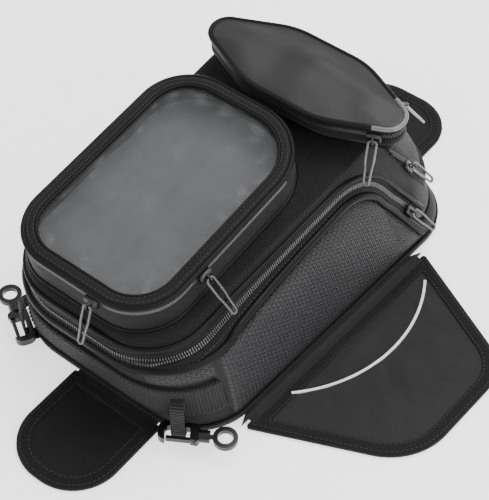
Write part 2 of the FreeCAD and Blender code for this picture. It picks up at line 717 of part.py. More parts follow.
hook_records = {}
for name, side in (("right_hook", 1), ("left_hook", -1)):
    body, gate, swivel, gate_pin, swivel_point, strap_mid = hook_solids()
    p, n, t = corner_frame(side)
    origin = V(p.x, p.y, hook_height)
    away = t * (-1 if side > 0 else 1)
    shapes = [at_corner(shape, side, hook_height) for shape in (body, gate, swivel)]
    save(name, [shapes[0]])
    save(name + "_gate", [shapes[1]])
    save(name + "_eye", [shapes[2]])
    hook_records[name] = (origin + n * strap_mid, origin + away * gate_pin.x + n * gate_pin.y,
                          origin + n * swivel_point.y, away, n)

for name, solids in sorted(nodes.items()):
    mesh = Part.makeCompound(solids).tessellate(0.5)[0]
    bb = FreeCAD.BoundBox()
    for point in mesh:
        bb.add(point)
    ok = all(s.isValid() for s in solids)
    print("%-20s %d solids %s  x %.1f %.1f  y %.1f %.1f  z %.1f %.1f" % (
        name, len(solids), ok, bb.XMin, bb.XMax, bb.YMin, bb.YMax, bb.ZMin, bb.ZMax))
print("nodes", len(nodes))
for name, value in slider_records.items():
    print("slider", name, [[round(c, 5) for c in part] for part in value[:3]], value[3])
for name, value in hook_records.items():
    print("hook", name, [[round(c, 4) for c in part] for part in value])
flank_foot = V(wing_base.x, 0, wing_middle)
print("wing foot", [round(c, 3) for c in flank_foot], "axis", round(math.sin(flank), 6), round(math.cos(flank), 6))
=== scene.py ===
# %% [markdown]
# # A motorcycle tank bag
# The bag's frame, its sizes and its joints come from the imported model. This script adds
# what a maker of soft luggage adds: cloth that bulges, piping, webbing, stitches, zips and
# the finish of each material. Everything is in metres, in the frame's own coordinates.

import json
import math

import bpy
import numpy as np
from mathutils import Matrix, Vector, noise


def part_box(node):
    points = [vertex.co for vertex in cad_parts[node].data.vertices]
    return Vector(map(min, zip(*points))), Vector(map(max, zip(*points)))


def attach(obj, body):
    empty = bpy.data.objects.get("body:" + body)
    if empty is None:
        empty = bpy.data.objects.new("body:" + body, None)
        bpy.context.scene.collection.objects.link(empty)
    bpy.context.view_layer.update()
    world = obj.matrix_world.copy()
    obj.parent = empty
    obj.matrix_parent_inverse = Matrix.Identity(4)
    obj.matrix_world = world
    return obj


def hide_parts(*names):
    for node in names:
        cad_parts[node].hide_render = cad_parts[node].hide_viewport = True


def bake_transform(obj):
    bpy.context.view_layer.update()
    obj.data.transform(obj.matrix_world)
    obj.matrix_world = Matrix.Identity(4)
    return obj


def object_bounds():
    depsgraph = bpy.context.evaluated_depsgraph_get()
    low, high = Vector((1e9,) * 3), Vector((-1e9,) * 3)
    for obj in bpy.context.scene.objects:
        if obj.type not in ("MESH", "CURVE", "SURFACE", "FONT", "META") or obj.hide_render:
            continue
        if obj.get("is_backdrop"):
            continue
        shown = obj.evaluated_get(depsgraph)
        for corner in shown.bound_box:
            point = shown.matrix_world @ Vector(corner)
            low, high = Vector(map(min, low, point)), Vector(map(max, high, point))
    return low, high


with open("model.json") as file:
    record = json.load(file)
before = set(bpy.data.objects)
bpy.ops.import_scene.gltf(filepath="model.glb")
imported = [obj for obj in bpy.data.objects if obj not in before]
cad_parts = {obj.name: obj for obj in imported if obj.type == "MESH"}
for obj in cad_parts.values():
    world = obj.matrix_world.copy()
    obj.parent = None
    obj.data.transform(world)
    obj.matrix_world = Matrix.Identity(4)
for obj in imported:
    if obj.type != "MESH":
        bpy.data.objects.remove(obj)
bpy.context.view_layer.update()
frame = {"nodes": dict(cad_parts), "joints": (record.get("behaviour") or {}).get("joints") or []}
nodes = frame["nodes"]
joints = {j["name"]: j for j in frame["joints"]}
mm = 0.001
COLUMNS = 420

# %% [markdown]
# ## Reading outlines off the frame
# Every plan outline of the bag is convex, so the outline at a height is the convex hull of
# the node's points in that slice. Each outline is then walked in equal steps, starting at
# the middle of its pouch side, so that outlines at two heights can be joined point by point.


# %% Outlines
def points_of(node):
    data = nodes[node].data
    flat = np.empty(len(data.vertices) * 3)
    data.vertices.foreach_get("co", flat)
    return flat.reshape(-1, 3)


def hull(flat):
    """Convex hull of 2-D points, counter-clockwise."""
    pts = sorted(set(map(tuple, np.round(flat, 7))))

    def half(seq):
        out = []
        for p in seq:
            while len(out) > 1 and ((out[-1][0] - out[-2][0]) * (p[1] - out[-2][1])
                                    - (out[-1][1] - out[-2][1]) * (p[0] - out[-2][0])) <= 0:
                out.pop()
            out.append(p)
        return out[:-1]

    return np.array(half(pts) + half(pts[::-1]))


def walk(loop, count, closed=True, start=None):
    """The same line as count equal steps."""
    line = np.vstack([loop, loop[:1]]) if closed else np.asarray(loop)
    run = np.r_[0, np.cumsum(np.linalg.norm(np.diff(line, axis=0), axis=1))]
    steps = np.linspace(0, run[-1], count, endpoint=not closed)
    if start is not None:
        fine = np.linspace(0, run[-1], 4000, endpoint=False)
        where = np.stack([np.interp(fine, run, line[:, k]) for k in range(line.shape[1])], 1)
        steps = (steps + fine[np.argmin(np.linalg.norm(where - start, axis=1))]) % run[-1]
    return np.stack([np.interp(steps, run, line[:, k]) for k in range(line.shape[1])], 1)


def walk_pair(path, vectors, count, closed=True):
    """Equal steps along a path, with the vectors that belong to each step."""
    path = np.asarray(path, float)
    vectors = np.broadcast_to(np.asarray(vectors, float), path.shape)
    line = np.vstack([path, path[:1]]) if closed else path
    ups = np.vstack([vectors, vectors[:1]]) if closed else vectors
    run = np.r_[0, np.cumsum(np.linalg.norm(np.diff(line, axis=0), axis=1))]
    steps = np.linspace(0, run[-1], count, endpoint=not closed)
    both = [np.stack([np.interp(steps, run, one[:, k]) for k in range(3)], 1) for one in (line, ups)]
    return both[0], both[1]


def outward(loop):
    """Unit normals of a closed counter-clockwise 2-D loop."""
    along = np.roll(loop, -1, 0) - np.roll(loop, 1, 0)
    normal = np.stack([along[:, 1], -along[:, 0]], 1)
    return normal / np.linalg.norm(normal, axis=1)[:, None]


def grown(loop, amount):
    amount = np.asarray(amount)
    return loop + outward(loop) * (amount[:, None] if amount.ndim else amount)


slope = Vector(joints["pocket_side_slide"]["axis"])
DECK = np.array([[1, 0, 0], [0, slope.y, slope.z], [0, -slope.z, slope.y]])
deck_zero = float((points_of("pocket_lining") @ DECK.T)[:, 2].min())


def drawn_in(loop, amount):
    """A convex outline drawn in by an amount, without folds at its corners."""
    middle = loop.mean(0)
    arms = loop - middle
    normals = outward(loop)
    reach = (arms * normals).sum(1) - amount
    slope = arms @ normals.T
    share = np.where(slope > 1e-9, reach[None, :] / np.maximum(slope, 1e-9), 9.0)
    return middle + arms * share.min(1)[:, None]


def on_deck(flat, w):
    """Points of the sloping deck: x across, v up the slope, w above the cloth."""
    flat = np.asarray(flat, float)
    w = np.broadcast_to(np.asarray(w, float), flat.shape[:-1])
    return np.concatenate([flat, (w + deck_zero)[..., None]], -1) @ DECK


def shrinking(loop, shares):
    """Copies of an outline drawn towards its middle, each with its share and deck points."""
    middle = loop.mean(0)
    for share in shares:
        flat = middle + (loop - middle) * share
        yield share, flat, on_deck(flat, 0.0)


def upright(flat, z):
    flat = np.asarray(flat, float)
    return np.concatenate([flat, np.broadcast_to(np.asarray(z, float), flat.shape[:-1])[..., None]], -1)


def outline(node, low, high, deck=False, count=COLUMNS):
    pts = points_of(node)
    if deck:
        pts = pts @ DECK.T - np.array([0, 0, deck_zero])
    cut = pts[(pts[:, 2] >= low - 1e-4) & (pts[:, 2] <= high + 1e-4)]
    loop = hull(cut[:, :2])
    middle = (loop[:, 0].min() + loop[:, 0].max()) / 2
    return walk(loop, count, start=np.array([middle, loop[:, 1].max()]))


print("deck rises", round(math.degrees(math.asin(slope.z)), 2), "degrees")

# %% [markdown]
# ## Building meshes
# A piece is a grid of points. Its UV map is in metres of real cloth, so that every weave
# has the same thread count wherever it is used.


# %% Grids, tubes and stitches
def make_mesh(name, verts, faces, uvs=None):
    mesh = bpy.data.meshes.new(name)
    mesh.from_pydata([tuple(v) for v in verts], [], faces)
    mesh.polygons.foreach_set("use_smooth", [True] * len(mesh.polygons))
    if uvs is not None:
        layer = mesh.uv_layers.new(name="cloth")
        layer.data.foreach_set("uv", np.asarray(uvs, float).ravel())
    mesh.update()
    piece = bpy.data.objects.new(name, mesh)
    bpy.context.scene.collection.objects.link(piece)
    return piece


def skin(name, grid, wrap=True, wrap_rows=False, flat_from=None, flat_to=0):
    """Rows by columns of points. Rows from flat_from on, or before flat_to, lie flat and
    take their cloth direction from the plan; the others follow the outline."""
    grid = np.asarray(grid, float)
    rows, cols = grid.shape[:2]
    wide = np.linalg.norm(np.diff(np.concatenate([grid, grid[:, :1]], 1), axis=1), axis=2)
    u = np.r_[0, np.cumsum(wide[int(rows * 0.6) if rows > 2 else 0])]
    tall = np.concatenate([grid, grid[:1]], 0)
    v = np.vstack([np.zeros(cols), np.cumsum(np.linalg.norm(np.diff(tall, axis=0), axis=2), axis=0)])
    faces = []
    uvs = []
    for r in range(rows if wrap_rows else rows - 1):
        flat = (flat_from is not None and r >= flat_from) or r < flat_to
        for c in range(cols if wrap else cols - 1):
            corners = ((r, c), (r, c + 1), (r + 1, c + 1), (r + 1, c))
            faces.append([(a % rows) * cols + (b % cols) for a, b in corners])
            for a, b in corners:
                if flat:
                    uvs.append(grid[a % rows, b % cols, :2])
                else:
                    uvs.append((u[b], v[a, b % cols]))
    if flat_from is not None:
        faces.append([(rows - 1) * cols + c for c in range(cols)])
        uvs.extend(grid[-1, :, :2])
    if flat_to:
        faces.append(list(range(cols))[::-1])
        uvs.extend(grid[0, ::-1, :2])
    return make_mesh(name, grid.reshape(-1, 3), faces, uvs)


def frames_along(path, closed, up):
    path = np.asarray(path, float)
    if closed:
        ahead = np.roll(path, -1, 0) - np.roll(path, 1, 0)
    else:
        ahead = np.gradient(path, axis=0)
    ahead /= np.linalg.norm(ahead, axis=1)[:, None]
    up = np.broadcast_to(np.asarray(up, float), path.shape)
    side = np.cross(ahead, up)
    side /= np.linalg.norm(side, axis=1)[:, None]
    return ahead, side, np.cross(side, ahead)


def sweep(name, path, profile, closed=True, up=(0, 0, 1)):
    """A closed profile of (sideways, upward) points carried along a path."""
    path = np.asarray(path, float)
    _, side, rise = frames_along(path, closed, up)
    rows = [path + side * a + rise * b for a, b in profile]
    return skin(name, rows[::-1], wrap=closed, wrap_rows=True)


def circle(radius, wide=1.0, count=10):
    turn = np.linspace(0, 2 * math.pi, count, endpoint=False)
    return [(radius * wide * math.cos(t), radius * math.sin(t)) for t in turn]


def tube(name, path, radius, closed=True, up=(0, 0, 1), wide=1.0, count=10):
    return sweep(name, path, circle(radius, wide, count), closed, up)


def blocks(name, centres, along, side, rise, size):
    """Many small rounded blocks in one mesh, such as zip teeth or stitches."""
    shape = []
    for sx, sy, sz in ((-1, -1, -1), (1, -1, -1), (1, 1, -1), (-1, 1, -1),
                       (-0.7, -0.7, 1), (0.7, -0.7, 1), (0.7, 0.7, 1), (-0.7, 0.7, 1)):
        shape.append((sx * size[0] / 2, sy * size[1] / 2, sz * size[2] / 2))
    quads = ((0, 3, 2, 1), (4, 5, 6, 7), (0, 1, 5, 4), (1, 2, 6, 5), (2, 3, 7, 6), (3, 0, 4, 7))
    verts = np.concatenate([(centres + along * a + side * b + rise * c)[:, None] for a, b, c in shape], 1)
    faces = []
    for k in range(len(centres)):
        faces.extend([[8 * k + i for i in q] for q in quads])
    piece = make_mesh(name, verts.reshape(-1, 3), faces)
    piece.data.polygons.foreach_set("use_smooth", [False] * len(piece.data.polygons))
    return piece


def stitches(name, path, up, closed=True, pitch=3.6 * mm, length=2.5 * mm, thick=0.7 * mm):
    """A line of thread stitches lying on the cloth."""
    path = np.asarray(path, float)
    line = np.vstack([path, path[:1]]) if closed else path
    total = np.linalg.norm(np.diff(line, axis=0), axis=1).sum()
    count = max(2, int(total / pitch))
    centres, rise = walk_pair(path, up, count, closed)
    ahead, side, rise = frames_along(centres, closed, rise)
    return blocks(name, centres, ahead, side, rise, (length, thick, thick * 0.8))


def ripple(pts, size, depth, seed=0.0):
    """Soft uneven waves, from 3-D noise with features of a given size."""
    flat = np.asarray(pts).reshape(-1, 3)
    out = np.array([noise.noise(Vector(p / size) + Vector((seed, seed * 1.7, -seed))) for p in flat])
    return out.reshape(np.asarray(pts).shape[:-1]) * depth


print("mesh tools ready")

# %% [markdown]
# ## Materials
# One small class wraps a material's output socket, so that shader sums are written as
# ordinary arithmetic. Every finish below is built from it: threads, ribs and grain are
# waves and noise in metres of cloth.


# %% The socket class
class Wire:
    """One socket of a material. + - * / work on numbers, and add() makes any other node."""

    def __init__(self, tree, socket=None):
        self.tree = tree
        self.socket = socket

    def add(self, kind, settings=None, **links):
        node = self.tree.nodes.new(kind)
        for key, value in (settings or {}).items():
            setattr(node, key, value)
        for key, value in links.items():
            names = [key, key.replace("_", " "), key.replace("_", " ").title()]
            target = node.inputs[int(key[1:])] if key[0] == "i" and key[1:].isdigit() else \
                next(node.inputs[n] for n in names if n in node.inputs)
            if isinstance(value, Wire):
                self.tree.links.new(value.socket, target)
            else:
                target.default_value = value
        return Wire(self.tree, node.outputs[0] if node.outputs else None)

    def out(self, name):
        return Wire(self.tree, self.socket.node.outputs[name])

    def sum(self, operation, *others):
        links = {"i%d" % k: value for k, value in enumerate((self,) + others)}
        return self.add("ShaderNodeMath", {"operation": operation}, **links)

    def __add__(self, other):
        return self.sum("ADD", other)

    def __radd__(self, other):
        return self.sum("ADD", other)

    def __sub__(self, other):
        return self.sum("SUBTRACT", other)

    def __rsub__(self, other):
        return (self * -1.0).sum("ADD", other)

    def __mul__(self, other):
        return self.sum("MULTIPLY", other)

    def __rmul__(self, other):
        return self.sum("MULTIPLY", other)

    def __truediv__(self, other):
        return self.sum("DIVIDE", other)

    def wave(self, pitch, shift=0.0):
        return (self * (2 * math.pi / pitch) + shift).sum("SINE")

    def tint(self, dark, light):
        """A colour between two, chosen by this value from 0 to 1."""
        return self.add("ShaderNodeMix", {"data_type": "RGBA", "clamp_factor": True},
                        i0=self, i6=(*dark, 1), i7=(*light, 1)).out_at(2)

    def out_at(self, index):
        return Wire(self.tree, self.socket.node.outputs[index])


def start_material(name):
    material = bpy.data.materials.new(name)
    material.use_nodes = True
    tree = material.node_tree
    tree.nodes.clear()
    root = Wire(tree)
    where = root.add("ShaderNodeTexCoord")
    split = root.add("ShaderNodeSeparateXYZ", None, Vector=where.out("UV"))
    return material, root, split.out("X"), split.out("Y"), where.out("Object")


def close_material(root, colour, rough, height, depth, **uniform):
    bump = root.add("ShaderNodeBump", None, Strength=1.0, Distance=depth, Height=height)
    shader = root.add("ShaderNodeBsdfPrincipled", None, Base_Color=colour, Roughness=rough, Normal=bump)
    uniform.setdefault("Specular_IOR_Level", 0.16)
    for key, value in uniform.items():
        shader.socket.node.inputs[key.replace("_", " ")].default_value = value
    root.add("ShaderNodeOutputMaterial", None, Surface=shader)


def speckle(root, where, scale, detail=3.0):
    return root.add("ShaderNodeTexNoise", None, Vector=where, Scale=scale, Detail=detail)


# %% The finishes
def weave(name, dark, light, pitch, depth, rough=0.62, sheen=0.06, coarse=0.5, spec=0.16):
    """Woven nylon: threads over and under, fuzz, and slow change of tone."""
    material, root, u, v, where = start_material(name)
    across = (u * (math.pi / pitch)).sum("SINE")
    along = (v * (math.pi / pitch)).sum("SINE")
    cell = across * along
    over = cell.sum("GREATER_THAN", 0.0)
    thread = cell.sum("ABSOLUTE") * (0.55 + over * 0.45)
    fuzz = speckle(root, where, 1500.0, 2.0)
    tone = speckle(root, where, 14.0, 4.0)
    level = thread * coarse + fuzz * 0.25 + tone * 0.65 - 0.3
    colour = level.tint(dark, light)
    close_material(root, colour, rough + tone * 0.14 - 0.07, thread + fuzz * 0.25, depth,
                   Sheen_Weight=sheen, Sheen_Roughness=0.45, Specular_IOR_Level=spec)
    return material


def hexes(name, dark, light, pitch, depth):
    """Embossed vinyl: a six-sided cell pattern pressed into a satin skin."""
    material, root, u, v, where = start_material(name)
    a = u.wave(pitch)
    b = (u * 0.5 + v * 0.866).wave(pitch)
    c = (u * 0.5 - v * 0.866).wave(pitch)
    cell = (a * b * c) * 0.9 + (a + b - c) * 0.16 + 0.5
    grain = speckle(root, where, 900.0, 2.0)
    tone = speckle(root, where, 9.0, 3.0)
    level = cell * 0.75 + grain * 0.15 + tone * 0.5 - 0.2
    colour = level.tint(dark, light)
    close_material(root, colour, 0.42 + tone * 0.12 - cell * 0.06, cell + grain * 0.12, depth,
                   Coat_Weight=0.02, Coat_Roughness=0.4, Specular_IOR_Level=0.2)
    return material


def ribs(name, dark, light, pitch, depth):
    """Strap webbing: ribs across, a fine twill between them."""
    material, root, u, v, where = start_material(name)
    rib = u.wave(pitch) * 0.5 + 0.5
    twill = (u + v).wave(pitch * 0.55) * 0.5 + 0.5
    fuzz = speckle(root, where, 1300.0, 2.0)
    tone = speckle(root, where, 18.0, 3.0)
    level = rib * 0.4 + twill * 0.3 + fuzz * 0.2 + tone * 0.3 - 0.15
    close_material(root, level.tint(dark, light), 0.6 + tone * 0.1, rib + twill * 0.5 + fuzz * 0.3, depth,
                   Sheen_Weight=0.08, Sheen_Roughness=0.4)
    return material


def grained(name, dark, light, rough, depth, scale=450.0, metal=0.0, wear=0.0, coat=0.0, sheen=0.0,
            spec=0.3):
    """A smooth skin with fine grain, and paler worn patches."""
    material, root, u, v, where = start_material(name)
    grain = speckle(root, where, scale, 3.0)
    tone = speckle(root, where, 24.0, 4.0)
    worn = (tone - 0.52) * 6.0
    worn = worn.sum("MAXIMUM", 0.0).sum("MINIMUM", 1.0)
    level = grain * 0.45 + tone * 0.45 + worn * wear
    close_material(root, level.tint(dark, light), rough + grain * 0.1 - worn * 0.08, grain, depth,
                   Metallic=metal, Coat_Weight=coat, Coat_Roughness=0.25, Sheen_Weight=sheen,
                   Specular_IOR_Level=spec)
    return material


def clear_film(name):
    """Clear flexible film: mostly see-through, with haze and shallow waves."""
    material, root, u, v, where = start_material(name)
    haze = speckle(root, where, 28.0, 4.0)
    waves = speckle(root, where, 45.0, 2.0)
    bump = root.add("ShaderNodeBump", None, Strength=1.0, Distance=0.3 * mm, Height=waves)
    shader = root.add("ShaderNodeBsdfPrincipled", None, Base_Color=(0.4, 0.41, 0.43, 1),
                      Roughness=0.18 + haze * 0.12, Normal=bump, Alpha=0.05 + haze * 0.08)
    shader.socket.node.inputs["Specular IOR Level"].default_value = 0.9
    root.add("ShaderNodeOutputMaterial", None, Surface=shader)
    return material


def tone(level, blue=None):
    """A neutral shade; blue sets the third channel where it differs."""
    return (level, level, level if blue is None else blue)


finish = {
    "ballistic": weave("ballistic_nylon", tone(0.0015, 0.0016), tone(0.026, 0.027), 1.7 * mm, 0.8 * mm),
    "plain": weave("plain_nylon", tone(0.002, 0.0022), tone(0.013, 0.014),
                   0.8 * mm, 0.15 * mm, 0.6, 0.06, 0.3),
    "satin": weave("satin_nylon", tone(0.003), tone(0.017, 0.018),
                   0.8 * mm, 0.1 * mm, 0.4, 0.05, 0.3, 0.4),
    "mesh": weave("mesh_nylon", tone(0.001), tone(0.024, 0.025), 2.2 * mm, 0.8 * mm, 0.65, 0.06, 0.6),
    "wing": weave("wing_nylon", tone(0.002), tone(0.020, 0.021),
                  1.3 * mm, 0.4 * mm, 0.46, 0.08, 0.45, 0.28),
    "carbon": hexes("carbon_vinyl", tone(0.004, 0.0045), tone(0.048, 0.051), 3.6 * mm, 0.8 * mm),
    "piping": grained("piping_vinyl", tone(0.0015), tone(0.006, 0.0065),
                      0.42, 0.08 * mm, 700, wear=0.2, spec=0.14),
    "binding": weave("binding", tone(0.001), tone(0.016, 0.0165), 1.6 * mm, 0.5 * mm, 0.65, 0.05, 0.45),
    "webbing": ribs("webbing", tone(0.0008), tone(0.022, 0.023), 2.4 * mm, 1.0 * mm),
    "tape": weave("zip_tape", tone(0.002), tone(0.012, 0.013), 1.1 * mm, 0.2 * mm, 0.7, 0.05, 0.4),
    "teeth": grained("zip_teeth", tone(0.008), tone(0.04, 0.042), 0.35, 0.05 * mm, coat=0.2),
    # Dark zip teeth painted paler: the lighter grey is a painted highlight for glints on the teeth.
    "teeth_painted_glint": grained("light_zip_teeth", tone(0.02, 0.021), tone(0.11, 0.115),
                           0.3, 0.05 * mm, coat=0.3),
    "slider": grained("slider_metal", tone(0.01, 0.011), tone(0.09, 0.095),
                      0.34, 0.06 * mm, 600, 0.9, 0.5),
    "pull": grained("pull_metal", tone(0.03, 0.031), tone(0.22, 0.23), 0.28, 0.05 * mm, 600, 0.95, 0.5),
    "hook": grained("hook_plastic", tone(0.001), tone(0.006), 0.28, 0.06 * mm, 500, coat=0.25, wear=0.15),
    "film": clear_film("clear_vinyl"),
    "lining": grained("grey_lining", tone(0.03, 0.032), tone(0.075, 0.078),
                      0.6, 0.2 * mm, 300, sheen=0.05),
    "inner": weave("inner_lining", tone(0.01, 0.011), tone(0.045, 0.047),
                   1.0 * mm, 0.15 * mm, 0.65, 0.05, 0.3),
    # Painted highlight: a much paler copy of the piping, for a glint at the right-hand end of the pouch
    # lid's piping.
    "pipe_glow": grained("satin_piping_painted_highlight", tone(0.05, 0.052), tone(0.2, 0.205),
                         0.3, 0.05 * mm, 700, 0.2, coat=0.4),
    "silver": grained("reflective", (0.45, 0.46, 0.47), (0.8, 0.81, 0.83),
                      0.35, 0.05 * mm, 1500, 0.25, coat=0.4),
    "steel": grained("magnet_steel", tone(0.2, 0.21), tone(0.45, 0.46), 0.35, 0.04 * mm, 800, 1.0, 0.3),
    "foam": grained("foam", tone(0.03), tone(0.08), 0.9, 0.4 * mm, 900),
    "grip": grained("grip_rubber", tone(0.004), tone(0.016), 0.8, 0.5 * mm, 500),
    "thread": grained("thread", tone(0.008), tone(0.035, 0.036), 0.6, 0.1 * mm, 900, sheen=0.05),
}
slots = {kind: material.name.partition(".")[0] for kind, material in finish.items()}
slots.update({"satin": "plain_nylon", "wing": "ballistic_nylon", "tape": "plain_nylon",
              "inner": "grey_lining", "pipe_glow": "reflective", "thread": "binding"})


def dress(piece, kind, body, *replaced, inside=None):
    """Gives a piece its finish and its body, and hides the frame nodes that it stands for."""
    piece.data.materials.clear()
    piece.data.materials.append(finish[kind])
    if inside:
        piece.data.materials.append(finish[inside])
    if body:
        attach(piece, body)
    if replaced:
        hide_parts(*replaced)
    return piece


def thicken(piece, thick, inside=True):
    """Gives a shell its cloth thickness, inward, with a lining on the inner side."""
    solid = piece.modifiers.new("cloth", "SOLIDIFY")
    solid.thickness = thick
    solid.offset = -1
    solid.material_offset = 1 if inside else 0
    graph = bpy.context.evaluated_depsgraph_get()
    mesh = bpy.data.meshes.new_from_object(piece.evaluated_get(graph))
    piece.modifiers.clear()
    piece.data = mesh
    return piece


print("finishes:", len(finish))

# %% [markdown]
# ## The wall of the body
# Three outlines carry the whole body: the foot, the shoulder, which is its fullest line and
# drops a little towards the rear, and the rim of the deck. The shoulder is drawn from the
# bag's own measures, since no piece has an edge along it. A wall point has a column round
# the outline and a climb: 0 at the foot, 1 at the shoulder, 2 at the deck.

# %% Body wall
shoulder_drop = math.radians(3.6)
shoulder_front, shoulder_rear = -166 * mm, 152 * mm
shoulder_half_front, shoulder_half_rear = 80 * mm, 90 * mm
shoulder_round, shoulder_height = 56 * mm, 82 * mm
depth = shoulder_rear - shoulder_front
taper = math.atan2(shoulder_half_rear - shoulder_half_front, depth)
turn = np.linspace(0, 2 * math.pi, 360, endpoint=False)
corners = []
for d in (shoulder_round, depth - shoulder_round):
    x = shoulder_half_front + d * math.tan(taper) - shoulder_round / math.cos(taper)
    for side in (1, -1):
        corners.append(np.c_[side * x + shoulder_round * np.cos(turn), d + shoulder_round * np.sin(turn)])
flat = walk(hull(np.vstack(corners)), COLUMNS, start=np.array([0, depth]))
shoulder = np.c_[flat[:, 0], shoulder_front + flat[:, 1] * math.cos(shoulder_drop),
                 shoulder_height - flat[:, 1] * math.sin(shoulder_drop)]
foot_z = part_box("tub_shell")[0].z
foot_ring = upright(outline("tub_shell", foot_z, foot_z), foot_z)
deck_ring = outline("cover_shell", 0.0, 0.0, deck=True)
deck_rim = on_deck(deck_ring, 0.0)


def wall_line(climb):
    climb = np.clip(climb, 0.0, 2.0)[:, None]
    lower = foot_ring + (shoulder - foot_ring) * np.minimum(climb, 1.0)
    return lower + (deck_rim - shoulder) * np.maximum(climb - 1.0, 0.0)


def wall(climb, out=0.0, soft=0.3):
    """Points of the wall, its shoulder rounded off, pushed outward by out."""
    climb = np.broadcast_to(np.asarray(climb, float), (COLUMNS,))
    near = np.clip(1.0 - np.abs(climb - 1.0) / soft, 0.0, 1.0) * soft * 0.5
    pts = (wall_line(climb - near) + 2 * wall_line(climb) + wall_line(climb + near)) / 4
    rise = wall_line(climb + 0.06) - wall_line(climb - 0.06)
    along = np.roll(pts, -1, 0) - np.roll(pts, 1, 0)
    push = np.cross(along, rise)
    push /= np.linalg.norm(push, axis=1)[:, None]
    out = np.broadcast_to(np.asarray(out, float), (COLUMNS,))
    return pts + push * out[:, None], push


side_view = points_of("main_zip_lower")[:, 1:]
edge = hull(side_view)
edge = np.vstack([edge, edge[:1]])
tops = []
for y in np.linspace(side_view[:, 0].min() + 0.2 * mm, side_view[:, 0].max() - 0.2 * mm, 160):
    heights = []
    for a, b in zip(edge[:-1], edge[1:]):
        if (a[0] - y) * (b[0] - y) <= 0 and abs(b[0] - a[0]) > 1e-9:
            heights.append(a[1] + (b[1] - a[1]) * (y - a[0]) / (b[0] - a[0]))
    tops.append((y, max(heights)))
tops = np.array(tops)
zip_end = tops[-1, 0]
rear_end = tops[-1, 1]
tops = np.vstack([[tops[0, 0] - 0.1, tops[0, 1] - 0.0105], tops,
                  [zip_end + 1 * mm, rear_end], [0.5, rear_end]])


def beside_zip(y, z):
    """Distance of side-view points from the top of the lower zip row, positive above it."""
    best = np.full(y.shape, 9.0)
    sign = np.ones(y.shape)
    for a, b in zip(tops[:-1], tops[1:]):
        d = b - a
        t = np.clip(((y - a[0]) * d[0] + (z - a[1]) * d[1]) / (d @ d), 0, 1)
        gap = np.hypot(y - a[0] - t * d[0], z - a[1] - t * d[1])
        closer = gap < best
        best = np.where(closer, gap, best)
        sign = np.where(closer, np.sign(d[0] * (z - a[1]) - d[1] * (y - a[0])), sign)
    return best * sign


climbs = np.linspace(0, 2, 241)
ladder = np.array([wall_line(np.full(COLUMNS, c)) for c in climbs])
ladder_gap = beside_zip(ladder[:, :, 1], ladder[:, :, 2])


def climb_where(table, level):
    """The climb at which each column of a table first passes a level."""
    out = np.full(COLUMNS, 2.0)
    for c in range(COLUMNS):
        above = np.nonzero(table[:, c] >= level)[0]
        if len(above) == 0:
            continue
        k = above[0]
        if k == 0:
            out[c] = 0.0
            continue
        share = (level - table[k - 1, c]) / (table[k, c] - table[k - 1, c])
        out[c] = climbs[k - 1] + (climbs[k] - climbs[k - 1]) * share
    return out


zip_tooth = 1.4 * mm


def zip_climb(distance):
    """Climb of the line that runs beside the main zip at a distance above the tub's edge."""
    return climb_where(ladder_gap, distance * mm - zip_tooth)


def height_climb(z):
    return climb_where(ladder[:, :, 2], z)


print("body wall ready, the zip runs to", round(float(zip_end), 3))

# %% [markdown]
# ## The tub
# The walls rise from the foot to the main zip. The cloth bulges between its two sewn edges
# and carries shallow uneven waves.

# %% Tub walls
edge_climb = zip_climb(0.0)
rows = []
for share in (0.02, 0.35, 0.7, 0.92, 0.99):
    rows.append(upright(foot_ring[:, :2] * share, foot_z + 0.2 * mm))
for t in np.linspace(0.0, 1.0, 24):
    climb = edge_climb * t
    base, _ = wall(climb)
    swell = math.sin(math.pi * t)
    rows.append(wall(climb, (1.6 * mm + ripple(base, 45 * mm, 1.6 * mm)) * swell)[0])
tub_wall = thicken(dress(skin("tub_wall", rows, flat_to=5), "plain", None, inside="inner"), 2.6 * mm)
dress(tub_wall, "plain", "tub", "tub_shell", "tub_lining", inside="inner")
print("tub wall", len(tub_wall.data.vertices), "points")

# %% [markdown]
# ## Padded side panels
# Each panel is a foam-backed embossed skin under a fat bead that follows the zip. It
# reaches round the front corner, above the webbing, and falls with the zip at the rear.

# %% Side panels
band_low, band_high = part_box("web_band")
foot_line = height_climb(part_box("side_panels")[0].z)
over_band = height_climb(band_high.z + 1.8 * mm)
top_line = zip_climb(-10.2)
blend_at = np.clip((band_high.y + 3 * mm - foot_ring[:, 1] + 4 * mm) / (8 * mm), 0, 1)
blend_at = blend_at * blend_at * (3 - 2 * blend_at)
bottom_line = foot_line + (over_band - foot_line) * blend_at
for side, word in ((1, "right"), (-1, "left")):
    mid, _ = wall((bottom_line + top_line) / 2)
    tall = np.linalg.norm(wall(top_line)[0] - wall(bottom_line)[0], axis=1)
    keep = (mid[:, 0] * side > 47 * mm) & (top_line > bottom_line + 0.01) & (mid[:, 1] < zip_end)
    start = int(np.argmax(keep & ~np.roll(keep, 1)))
    order = np.roll(np.arange(COLUMNS), -start)
    order = order[keep[order]]
    run = np.r_[0, np.cumsum(np.linalg.norm(np.diff(mid[order], axis=0), axis=1))]
    ends = np.minimum(run, run[-1] - run)
    rows = []
    for t in np.linspace(0, 1, 30):
        climb = bottom_line + (top_line - bottom_line) * t
        base, _ = wall(climb)
        rim = np.minimum(min(t, 1 - t) * tall, 40 * mm)
        rim[order] = np.minimum(rim[order], ends)
        puff = 0.6 * mm + 4.4 * mm * (1 - np.exp(-rim / (6.5 * mm)))
        puff = puff + ripple(base, 42 * mm, 1.3 * mm, 3.0) * (1 - np.exp(-rim / (12 * mm)))
        rows.append(wall(climb, puff)[0][order])
    panel = skin("side_panel_" + word, rows, wrap=False)
    dress(panel, "carbon", "tub")
    if side > 0:
        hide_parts("side_panels")


